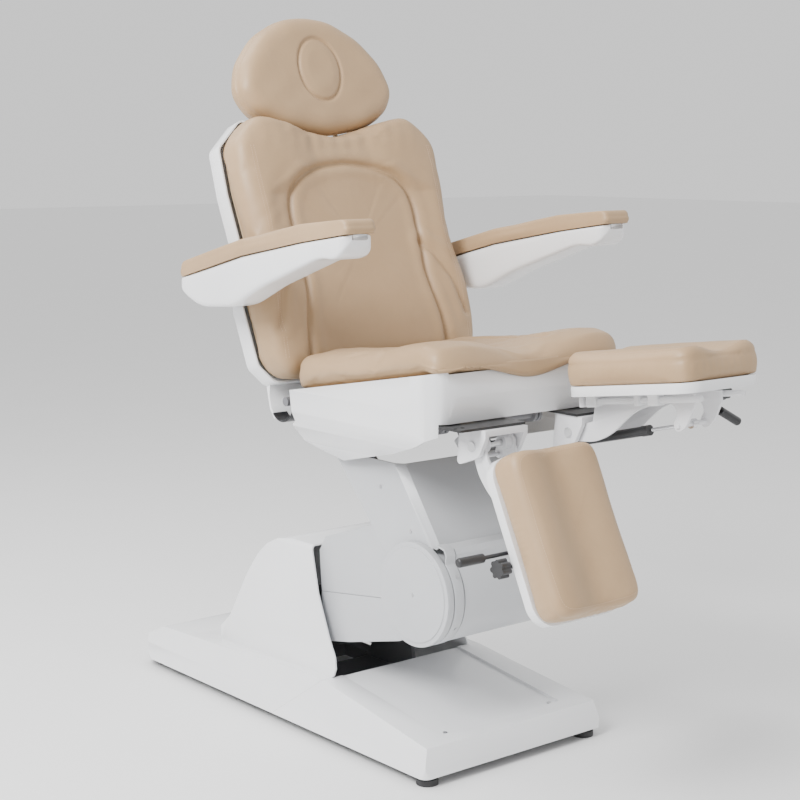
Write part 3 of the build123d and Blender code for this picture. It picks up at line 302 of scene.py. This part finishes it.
def face_outwards(mesh):
    """Turns a closed mesh the right way round if it encloses a negative volume."""
    mesh.calc_loop_triangles()
    co = np.zeros(len(mesh.vertices) * 3)
    mesh.vertices.foreach_get("co", co)
    co = co.reshape(-1, 3)
    tri = np.zeros(len(mesh.loop_triangles) * 3, np.int32)
    mesh.loop_triangles.foreach_get("vertices", tri)
    a, b, c = (co[tri.reshape(-1, 3)[:, i]] for i in range(3))
    if np.einsum("ij,ij->i", a, np.cross(b, c)).sum() < 0:
        mesh.flip_normals()


CLOTH_FRAMES = 14


def plump(piece, cap):
    """Lets the cover blow up under a little pressure, never by more than cap, as foam fills it."""
    start = np.zeros(len(piece.data.vertices) * 3)
    piece.data.vertices.foreach_get("co", start)
    cloth = piece.modifiers.new("cloth", "CLOTH")
    cloth.settings.quality, cloth.settings.mass = 3, 0.4
    cloth.settings.tension_stiffness = cloth.settings.compression_stiffness = 25
    cloth.settings.shear_stiffness, cloth.settings.bending_stiffness = 8, 0.8
    cloth.settings.use_pressure, cloth.settings.uniform_pressure_force = True, 4.0
    cloth.settings.effector_weights.gravity = 0
    cloth.collision_settings.use_collision = False
    for number in range(1, CLOTH_FRAMES + 1):
        bpy.context.scene.frame_set(number)
    blown = piece.evaluated_get(bpy.context.evaluated_depsgraph_get()).to_mesh()
    end = np.zeros(len(start))
    blown.vertices.foreach_get("co", end)
    piece.modifiers.remove(cloth)
    move = (end - start).reshape(-1, 3)
    length = np.linalg.norm(move, axis=1)[:, None] + 1e-9
    move *= cap * np.tanh(length / cap) / length
    piece.data.vertices.foreach_set("co", (start.reshape(-1, 3) + move).ravel())
    piece.data.update()
    bpy.context.scene.frame_set(1)


def carve(piece, unplace, place, depth):
    """Moves the cover in or out after it is filled: depth gives each point's move in the local frame."""
    co = np.zeros(len(piece.data.vertices) * 3)
    piece.data.vertices.foreach_get("co", co)
    local = unplace(co.reshape(-1, 3))
    piece.data.vertices.foreach_set("co", place(local + depth(local)).ravel())
    piece.data.update()


def near_line(x, u, line):
    """Distance from each point to an open line of corners."""
    best = np.full(len(x), np.inf)
    for (ax, au), (bx, bu) in zip(line, line[1:]):
        dx, du = bx - ax, bu - au
        share = np.clip(((x - ax) * dx + (u - au) * du) / (dx * dx + du * du), 0, 1)
        best = np.minimum(best, np.hypot(x - ax - share * dx, u - au - share * du))
    return best


def soft_line(line, passes=3):
    """The same line with its corners cut."""
    for _ in range(passes):
        out = [line[0]]
        for a, b in zip(line, line[1:]):
            out.append((a[0] * 0.75 + b[0] * 0.25, a[1] * 0.75 + b[1] * 0.25))
            out.append((a[0] * 0.25 + b[0] * 0.75, a[1] * 0.25 + b[1] * 0.75))
        line = out + [line[-1]]
    return line


def as_is(points):
    """For a pad whose local frame is the frame itself."""
    return points


def seat_top(flat):
    """Height of the seat: highest at the front, with a dip for the thighs between two lobes."""
    x, y = flat[:, 0], flat[:, 1]
    spine = np.interp(y, [-0.388, -0.365, -0.323, -0.26, -0.189, -0.077, 0.080, 0.092],
                      [0.880, 0.896, 0.903, 0.893, 0.877, 0.866, 0.849, 0.848])
    front = smooth(-0.12, -0.31, y)
    lobes = 0.006 * np.exp(-((np.abs(x) - 0.19) / 0.06) ** 2) - 0.026 * np.exp(-(x / 0.10) ** 2)
    return spine - 0.004 + front * lobes - (1 - front) * 0.010 * np.exp(-(x / 0.13) ** 2)


def seat_low(flat):
    return SEAT_RIM - flat[:, 1] * SEAT_SLOPE + 0.003


seat_outline = closed_curve([(-0.257, -0.384), (0.257, -0.384), (0.257, 0.088), (-0.257, 0.088)], 260, 0.055)
seat_cushion = pad_form("seat_upholstery", seat_outline, (0, -0.15), seat_top, seat_low, 0.030, 0.008, as_is,
                        rings=60)
plump(seat_cushion, 0.007)
thigh_seams = [soft_line([(s * 0.150, 0.085), (s * 0.158, -0.05), (s * 0.145, -0.18), (s * 0.105, -0.30)])
               for s in (-1, 1)]


def seat_detail(p):
    """Seams along the thigh bolsters, puckers beside them and slow creases at the rear."""
    x, y, z = p.T
    upper = smooth(0.80, 0.85, z + (y + 0.37) * 0.14)
    drop = np.zeros(len(x))
    for seam in thigh_seams:
        away = near_line(x, y, seam)
        drop -= 0.0060 * np.exp(-(away / 0.007) ** 2) - 0.0025 * np.exp(-((away - 0.022) / 0.014) ** 2)
    fan = np.arctan2(np.abs(x) - 0.262, y + 0.02)
    pucker = np.exp(-(((np.abs(x) - 0.235) / 0.035) ** 2 + ((y + 0.10) / 0.07) ** 2))
    drop -= 0.0035 * pucker * (0.5 + 0.5 * np.sin(fan * 26))
    drop += 0.0010 * np.sin(x * 55 + np.sin(y * 30)) * np.sin(y * 42 + x * 18) * smooth(-0.36, -0.2, y)
    move = np.zeros_like(p)
    move[:, 2] = drop * upper
    return move


carve(seat_cushion, as_is, as_is, seat_detail)
seat_cushion.data.materials.append(tan)
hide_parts("seat_cushion")
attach(seat_cushion, "seat")

# ------------------------------------------------------------------ stitches
# Waxed thread, a little paler than the cover, laid in short even stitches along the seams.
# The rows of one pad are one mesh that goes with it.

PITCH, THREAD, STITCH = 0.0052, 0.00055, 0.0021
thread = rough_cast("pale waxed thread", (0.62, 0.46, 0.32), (0.52, 0.37, 0.25), 0.55, 0.1, 2500.0, 0.00005)

stitches = bpy.data.node_groups.new("stitches along a seam", "GeometryNodeTree")
stitches.interface.new_socket("Seam", in_out="INPUT", socket_type="NodeSocketGeometry")
for label in ("Pitch", "Thread", "Length"):
    stitches.interface.new_socket(label, in_out="INPUT", socket_type="NodeSocketFloat")
stitches.interface.new_socket("Finish", in_out="INPUT", socket_type="NodeSocketMaterial")
stitches.interface.new_socket("Stitches", in_out="OUTPUT", socket_type="NodeSocketGeometry")
part = {label: stitches.nodes.new(kind) for label, kind in (
    ("given", "NodeGroupInput"), ("made", "NodeGroupOutput"), ("curve", "GeometryNodeMeshToCurve"),
    ("even", "GeometryNodeResampleCurve"), ("along", "GeometryNodeInputTangent"),
    ("turn", "FunctionNodeAlignRotationToVector"), ("bead", "GeometryNodeMeshIcoSphere"),
    ("shape", "ShaderNodeCombineXYZ"), ("lay", "GeometryNodeInstanceOnPoints"),
    ("real", "GeometryNodeRealizeInstances"), ("finish", "GeometryNodeSetMaterial"))}
part["even"].mode, part["turn"].axis = "LENGTH", "Z"
part["bead"].inputs["Radius"].default_value = 1.0
part["bead"].inputs["Subdivisions"].default_value = 1
for source, out, target, slot in (
        ("given", "Seam", "curve", "Mesh"), ("curve", "Curve", "even", "Curve"),
        ("given", "Pitch", "even", "Length"), ("along", "Tangent", "turn", "Vector"),
        ("even", "Curve", "lay", "Points"), ("bead", "Mesh", "lay", "Instance"),
        ("turn", "Rotation", "lay", "Rotation"), ("given", "Thread", "shape", "X"),
        ("given", "Thread", "shape", "Y"), ("given", "Length", "shape", "Z"),
        ("shape", "Vector", "lay", "Scale"), ("lay", "Instances", "real", "Geometry"),
        ("real", "Geometry", "finish", "Geometry"), ("given", "Finish", "finish", "Material"),
        ("finish", "Geometry", "made", "Stitches")):
    stitches.links.new(part[source].outputs[out], part[target].inputs[slot])


def sew(name, pad, rows, inward, body):
    """Lays rows of points, started outside the pad, onto it along inward and stitches along them."""
    pad.data.update()
    bpy.context.view_layer.update()
    skin = BVHTree.FromObject(pad, bpy.context.evaluated_depsgraph_get())
    points, edges = [], []
    for row in rows:
        run = []
        for point in row:
            hit, normal, *_ = skin.ray_cast(Vector(point), Vector(inward))
            if hit:
                run.append(hit + normal * 0.0002)
        edges += [(len(points) + i, len(points) + i + 1) for i in range(len(run) - 1)]
        points += run
    seam_mesh = bpy.data.meshes.new(name + "_seam")
    seam_mesh.from_pydata(points, edges, [])
    seam = bpy.data.objects.new(name + "_seam", seam_mesh)
    bpy.context.scene.collection.objects.link(seam)
    sewing = seam.modifiers.new("sewing", "NODES")
    sewing.node_group = stitches
    given = {"Pitch": PITCH, "Thread": THREAD, "Length": STITCH, "Finish": thread}
    for item in stitches.interface.items_tree:
        if item.in_out == "INPUT" and item.name in given:
            sewing[item.identifier] = given[item.name]
    ready = seam.evaluated_get(bpy.context.evaluated_depsgraph_get())
    piece = bpy.data.objects.new(name, bpy.data.meshes.new_from_object(ready))
    bpy.context.scene.collection.objects.link(piece)
    bpy.data.objects.remove(seam)
    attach(piece, body)


def beside(line, gap):
    """The same line moved sideways by gap."""
    line = np.array(line)
    run = np.gradient(line, axis=0)
    run /= np.linalg.norm(run, axis=1)[:, None]
    return line + np.column_stack((-run[:, 1], run[:, 0])) * gap


SEAT_GAP, ABOVE_SEAT = 0.0055, 1.1
seat_rows = [[(x, y, ABOVE_SEAT) for x, y in beside(seam, gap)]
             for seam in thigh_seams for gap in (SEAT_GAP, -SEAT_GAP)]
sew("seat_stitches", seat_cushion, seat_rows, (0, 0, -1), "seat")

# ------------------------------------------------------------------ back frame and shell
# Welded tube frame behind a board, in a white shell; a black barrel covers the hinge.

trimmed("back_shell", white_gloss, 0.0015)
for node, material in (("back_frame", dark_paint), ("back_board", board), ("headrest_posts", chrome),
                       ("headrest_board", black_paint)):
    dress(node, material)
trimmed("back_hinge_cover", black_plastic, 0.001)

# ------------------------------------------------------------------ back cushion
# Waisted back pad with two shoulder lobes.  A sewn groove outlines a raised centre panel, a
# pleat gathers the cover at the waist, and a twin row of stitches runs down each bolster.

RECLINE = math.radians(18)
BACK_Y, BACK_Z = 0.120, 0.770
LEAN, RISE = math.sin(RECLINE), math.cos(RECLINE)


def on_back(p):
    """(x, up the back, out of it) in metres, into the frame."""
    x, u, w = p.T
    return np.column_stack((x, BACK_Y + u * LEAN - w * RISE, BACK_Z + u * RISE + w * LEAN))


def off_back(p):
    """The way back from the frame to the back's own places."""
    x, y, z = p.T
    y, z = y - BACK_Y, z - BACK_Z
    return np.column_stack((x, y * LEAN + z * RISE, z * LEAN - y * RISE))


def both_sides(half, centre_last):
    """A closed outline from its +x half, which runs from the bottom to the top."""
    return half + [centre_last] + [(-x, u) for x, u in reversed(half)]


back_half = [(0.255, 0.020), (0.289, 0.060), (0.299, 0.190), (0.275, 0.328), (0.284, 0.443), (0.283, 0.548),
             (0.215, 0.611)]
back_outline = closed_curve(both_sides(back_half, (0, 0.565)), 300, 0.050)


def back_top(flat):
    """Height of the back pad: bolsters beside the centre panel and a swell at the lumbar."""
    x, u = np.abs(flat[:, 0]), flat[:, 1]
    panel = np.interp(u, [0.02, 0.10, 0.18, 0.25, 0.42, 0.48], [0.194, 0.192, 0.184, 0.174, 0.178, 0.07])
    bolster = smooth(0, 0.07, x - panel)
    lumbar = 0.010 * np.exp(-((u - 0.16) / 0.10) ** 2)
    notch = 0.012 * smooth(0.50, 0.60, u) * np.exp(-(x / 0.1) ** 2)
    return 0.026 + 0.014 * bolster + lumbar * (1 - bolster) - notch


back_cushion = pad_form("back_upholstery", back_outline, (0, 0.30), back_top,
                        lambda flat: np.full(len(flat), -0.035), 0.030, 0.004, on_back, rings=70)
plump(back_cushion, 0.007)
panel_half = [(0, 0.492), (0.085, 0.484), (0.152, 0.450), (0.177, 0.400), (0.175, 0.310), (0.170, 0.235),
              (0.178, 0.175), (0.192, 0.120), (0.195, 0.060), (0.188, 0.020)]
panel_lines = [soft_line([(s * x, u) for x, u in panel_half]) for s in (-1, 1)]
pleats = [soft_line([(s * 0.174, 0.300), (s * 0.212, 0.262), (s * 0.244, 0.205), (s * 0.264, 0.130)])
          for s in (-1, 1)]


def back_detail(p):
    """The panel groove, the waist pleats, and gathers at the top edge and the waist."""
    x, u, w = p.T
    face = smooth(-0.020, 0.020, w)
    move = np.zeros_like(p)
    drop = np.zeros(len(x))
    away = np.minimum(near_line(x, u, panel_lines[0]), near_line(x, u, panel_lines[1]))
    drop += -0.0105 * np.exp(-(away / 0.0062) ** 2) + 0.0026 * np.exp(-((away - 0.020) / 0.012) ** 2)
    for line in pleats:
        away = near_line(x, u, line)
        drop += -0.0066 * np.exp(-(away / 0.0075) ** 2) + 0.0028 * np.exp(-((away - 0.022) / 0.012) ** 2)
    side = np.abs(x)
    tuck = smooth(0.49, 0.56, u) * np.exp(-(x / 0.17) ** 2)
    drop += 0.0012 * tuck * np.sin(x * 165 + 1.3 * np.sin(u * 30))
    waist = np.exp(-(((side - 0.225) / 0.05) ** 2 + ((u - 0.30) / 0.10) ** 2))
    drop += 0.0009 * waist * np.sin((u + side * 0.8) * 150)
    drop += 0.0005 * np.sin(x * 38 + 2 * np.sin(u * 17)) * np.sin(u * 33 + x * 9)
    move[:, 2] = drop * face
    return move


carve(back_cushion, off_back, on_back, back_detail)
back_cushion.data.materials.append(tan)
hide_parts("back_cushion")
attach(back_cushion, "backrest")

side_seam = soft_line([(0.262, 0.060), (0.262, 0.190), (0.243, 0.328), (0.250, 0.443), (0.249, 0.530)])
BACK_GAP, OFF_BACK = 0.0035, 0.2
back_rows = []
for s in (-1, 1):
    for gap in (BACK_GAP, -BACK_GAP):
        back_rows.append(on_back(np.array([(s * x, u, OFF_BACK) for x, u in beside(side_seam, gap)])))
sew("back_stitches", back_cushion, back_rows, (0, RISE, -LEAN), "backrest")

# ------------------------------------------------------------------ headrest
# A mushroom-shaped pad on two posts, with an oval pillow let into its face behind a sewn
# groove, a seam round its side, and a pocket at the back for the mounting board.

head_half = [(0.110, 0.587), (0.188, 0.626), (0.218, 0.674), (0.198, 0.742), (0.140, 0.808), (0.066, 0.848)]
head_outline = closed_curve(both_sides([(0.0, 0.573)] + head_half, (0, 0.856))[:-1], 260, 0.045)


def head_top(flat):
    """A face crowned both ways."""
    x, u = flat[:, 0], flat[:, 1]
    return 0.010 - 0.10 * x * x - 0.12 * (u - 0.71) ** 2


def head_low(flat):
    """A rounded rear with a flat pocket for the mounting board."""
    x, u = flat[:, 0], flat[:, 1]
    pocket = smooth(0.104, 0.098, np.abs(x)) * smooth(0.802, 0.796, u)
    return -0.073 + 0.0365 * pocket + 0.25 * x * x * (1 - pocket)


headrest = pad_form("headrest_upholstery", head_outline, (0, 0.715), head_top, head_low, 0.034, 0.016, on_back,
                    rings=60)
plump(headrest, 0.005)


def head_detail(p):
    """The oval pillow's groove and the seam round the side."""
    x, u, w = p.T
    face = smooth(-0.030, 0.0, w)
    oval = np.hypot(x / 0.058, (u - 0.722) / 0.074)
    away = (oval - 1) * 0.062
    move = np.zeros_like(p)
    drop = -0.0055 * np.exp(-(away / 0.0038) ** 2) + 0.0035 * smooth(1.0, 0.55, oval)
    drop += 0.0008 * np.sin(x * 60 + 2 * np.sin(u * 24)) * np.sin(u * 44)
    move[:, 2] = drop * face
    belt = np.exp(-((w + 0.026) / 0.0035) ** 2)
    spread = np.hypot(x, u - 0.715) + 1e-6
    move[:, 0] -= 0.0030 * belt * x / spread * smooth(0.13, 0.16, spread)
    move[:, 1] -= 0.0030 * belt * (u - 0.715) / spread * smooth(0.13, 0.16, spread)
    return move


carve(headrest, off_back, on_back, head_detail)
headrest.data.materials.append(tan)
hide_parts("headrest_cushion")
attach(headrest, "headrest")

# ------------------------------------------------------------------ armrests
# Each arm is a hollow white moulding, thickest at its hub, under a long tan pad.

ARM_TOP = [(0.332, 0.999), (0.091, 1.059), (-0.120, 1.096), (-0.266, 1.117)]
ARM_LOW = [(-0.265, 1.089), (-0.239, 1.065), (-0.185, 1.069), (0.021, 0.998), (0.125, 0.951), (0.248, 0.942),
           (0.311, 0.966), (0.327, 0.984)]
PAD_TOP = [(0.322, 1.037), (0.091, 1.097), (-0.120, 1.135), (-0.272, 1.150)]


ARM_X, ARM_FRONT, ARM_REAR = 0.355, -0.266, 0.331
SQUARENESS = 0.30
BLEND, NOSE_LENGTH, NOSE_NARROWING = 0.024, 0.026, 0.026


def bar_form(name, middle, half, stations=120, around=48):
    """The arm moulding: rounded sections between its lower and upper edges, closed at both ends."""
    low_y, low_z = zip(*ARM_LOW)
    top_y, top_z = zip(*reversed(ARM_TOP))
    turn = np.linspace(0, 2 * math.pi, around, endpoint=False)
    wide = np.sign(np.cos(turn)) * np.abs(np.cos(turn)) ** SQUARENESS
    tall = np.sign(np.sin(turn)) * np.abs(np.sin(turn)) ** SQUARENESS
    spread = (1 - np.cos(np.linspace(0.02, math.pi - 0.02, stations))) / 2
    points = []
    for y in ARM_FRONT + (ARM_REAR - ARM_FRONT) * spread:
        about = y + np.linspace(-BLEND, BLEND, 9)
        low, top = np.interp(about, low_y, low_z).mean(), np.interp(y, top_y, top_z)
        end = min(1.0, (min(y - ARM_FRONT, ARM_REAR - y) + 0.0006) / NOSE_LENGTH)
        shrink = math.sqrt(1 - (1 - end) ** 2)
        x = middle + wide * (half - NOSE_NARROWING * (1 - shrink))
        low = top - (top - low) * (0.12 + 0.88 * shrink)
        z = (low + top) / 2 + tall * (top - low) / 2
        points += [(a, y, b) for a, b in zip(x, z)]
    faces = []
    for r in range(0, (stations - 1) * around, around):
        for i in range(around):
            j = (i + 1) % around
            faces.append((r + i, r + j, r + around + j, r + around + i))
    faces += [tuple(range(around)), tuple(reversed(range((stations - 1) * around, stations * around)))]
    mesh = bpy.data.meshes.new(name)
    mesh.from_pydata(points, [], faces)
    mesh.polygons.foreach_set("use_smooth", [True] * len(mesh.polygons))
    face_outwards(mesh)
    piece = bpy.data.objects.new(name, mesh)
    bpy.context.scene.collection.objects.link(piece)
    return piece


for hand, side in (("left", 1), ("right", -1)):
    dress(f"armrest_pivot_{hand}", zinc)

    shell = bar_form(f"armrest_moulding_{hand}", side * ARM_X, 0.0395)
    shell.data.materials.append(white_gloss)
    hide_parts(f"armrest_shell_{hand}")
    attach(shell, f"armrest_{hand}")

    def arm_top(flat):
        ys, zs = zip(*reversed(PAD_TOP))
        u = flat[:, 1]
        crease = 0.0014 * np.exp(-((flat[:, 0] - side * 0.352) / 0.004) ** 2) * smooth(0.30, 0.20, np.abs(u - 0.03))
        return np.interp(u, ys, zs) - 0.0025 - crease

    def arm_low(flat):
        ys, zs = zip(*reversed(ARM_TOP))
        return np.interp(flat[:, 1], ys, zs) + 0.001

    plan = closed_curve([(side * 0.317, -0.270), (side * 0.393, -0.270), (side * 0.393, 0.324),
                         (side * 0.317, 0.324)], 300, 0.020)
    pad = pad_form(f"armrest_upholstery_{hand}", plan, (side * ARM_X, 0.027), arm_top, arm_low, 0.013, 0.003, as_is,
                   rings=24)
    pad.data.materials.append(tan)
    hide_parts(f"armrest_pad_{hand}")
    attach(pad, f"armrest_{hand}")

# ------------------------------------------------------------------ leg rests
# White clevis brackets and hooked side plates, black gas springs with bright rods, lobed
# clamp knobs and black levers under each tray; the calf pads are saddle shaped.

white_paint = rough_cast("white powder coat", (0.80, 0.80, 0.81), (0.74, 0.74, 0.76), 0.34, 0.12, 1400.0, 0.00005)
LEG_POSE = {"left": 7.7, "right": -64.0}
LEG_X, LEG_Y, LEG_Z = 0.132, -0.405, 0.705
OFF_LEG = 0.25
for hand, side in (("left", 1), ("right", -1)):
    angle = math.radians(LEG_POSE[hand])
    s, c = math.sin(angle), math.cos(angle)
    x0 = side * LEG_X
    trimmed(f"leg_bracket_{hand}", white_paint, 0.0015)
    trimmed(f"leg_arm_{hand}", white_paint, 0.0006, 2)
    trimmed(f"leg_tray_{hand}", white_gloss, 0.003)
    for node, material in ((f"leg_pivot_pin_{hand}", chrome), (f"gas_rod_{hand}", chrome),
                           (f"gas_cylinder_{hand}", black_paint), (f"clamp_knob_{hand}", black_plastic),
                           (f"release_lever_{hand}", black_plastic)):
        dress(node, material)

    def on_leg(p, x0=x0, s=s, c=c):
        x, u, w = p.T
        return np.column_stack((x0 + x, LEG_Y - u * c + w * s, LEG_Z + u * s + w * c))

    def off_leg(p, x0=x0, s=s, c=c):
        x, y, z = p.T
        y, z = y - LEG_Y, z - LEG_Z
        return np.column_stack((x - x0, z * s - y * c, y * s + z * c))

    def calf_top(flat):
        x = np.abs(flat[:, 0])
        return 0.156 - 0.008 * np.cos(2 * math.pi * x / 0.150)

    plan = closed_curve([(-0.112, 0.054), (0.112, 0.054), (0.112, 0.376), (-0.112, 0.376)], 280, 0.060)
    pad = pad_form(f"calf_upholstery_{hand}", plan, (0, 0.215), calf_top,
                   lambda flat: np.full(len(flat), 0.0975), 0.018, 0.006, on_leg, rings=56)
    plump(pad, 0.005)

    def calf_detail(p):
        x, u, w = p.T
        move = np.zeros_like(p)
        edge = np.exp(-((w - 0.140) / 0.0022) ** 2)
        spread = np.hypot(x, u - 0.215) + 1e-6
        outer = smooth(0.085, 0.100, np.maximum(np.abs(x), np.abs(u - 0.215) * 0.7))
        gather = np.sin(np.arctan2(u - 0.215, x) * 60) * np.exp(-((w - 0.122) / 0.014) ** 2)
        pull = (-0.0022 * edge - 0.0004 * gather) * outer
        move[:, 0] = pull * x / spread
        move[:, 1] = pull * (u - 0.215) / spread
        move[:, 2] = 0.0005 * np.sin(x * 50 + 2 * np.sin(u * 21)) * np.sin(u * 40) * smooth(0.13, 0.15, w)
        return move

    carve(pad, off_leg, on_leg, calf_detail)
    pad.data.materials.append(tan)
    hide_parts(f"calf_pad_{hand}")
    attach(pad, f"leg_tray_{hand}")
    ring = closed_curve([(-0.101, 0.065), (0.101, 0.065), (0.101, 0.365), (-0.101, 0.365)], 260, 0.055)
    ring = np.concatenate((ring, ring[:1]))
    row = on_leg(np.column_stack((ring, np.full(len(ring), OFF_LEG))))
    sew(f"calf_stitches_{hand}", pad, [row], (0, -s, -c), f"leg_tray_{hand}")

# ------------------------------------------------------------------ studio
# A plain pale floor under three large soft lights, and the camera.

floor_mesh = bpy.data.meshes.new("studio_floor")
FLOOR = 30
floor_mesh.from_pydata([(-FLOOR, -FLOOR, 0), (FLOOR, -FLOOR, 0), (FLOOR, FLOOR, 0), (-FLOOR, FLOOR, 0)], [],
                       [(0, 1, 2, 3)])
floor = bpy.data.objects.new("studio_floor", floor_mesh)
bpy.context.scene.collection.objects.link(floor)
pale = rough_cast("pale floor", (0.90, 0.90, 0.90), (0.89, 0.89, 0.89), 0.7, 0.05, 50.0, 0.0001)
floor_mesh.materials.append(pale)

world = bpy.data.worlds.new("studio")
world.use_nodes = True
world.node_tree.nodes["Background"].inputs["Color"].default_value = (1.0, 1.0, 1.0, 1)
world.node_tree.nodes["Background"].inputs["Strength"].default_value = 1.0
bpy.context.scene.world = world


def soft_light(name, place, aim, size, power):
    """A square lamp at place, aimed at a point on the bed."""
    lamp = bpy.data.lights.new(name, "AREA")
    lamp.shape, lamp.size, lamp.energy = "SQUARE", size, power
    light = bpy.data.objects.new(name, lamp)
    light.location = place
    light.rotation_euler = (Vector(aim) - Vector(place)).to_track_quat("-Z", "Y").to_euler()
    bpy.context.scene.collection.objects.link(light)


soft_light("key", (-3.0, -0.6, 3.0), (0, 0, 0.8), 1.6, 210)
soft_light("fill", (3.2, -1.4, 2.0), (0, 0, 0.7), 2.6, 12)
soft_light("rim", (-1.0, 1.6, 3.4), (0, 0, 0.9), 2.0, 60)

camera = bpy.data.cameras.new("camera")
camera.sensor_width, camera.lens = 36, 75.06
eye = bpy.data.objects.new("camera", camera)
eye.location = (-2.3278, -2.7884, 1.2810)
eye.rotation_euler = (math.radians(81.4), 0, math.radians(-39.4))
bpy.context.scene.collection.objects.link(eye)
bpy.context.scene.camera = eye
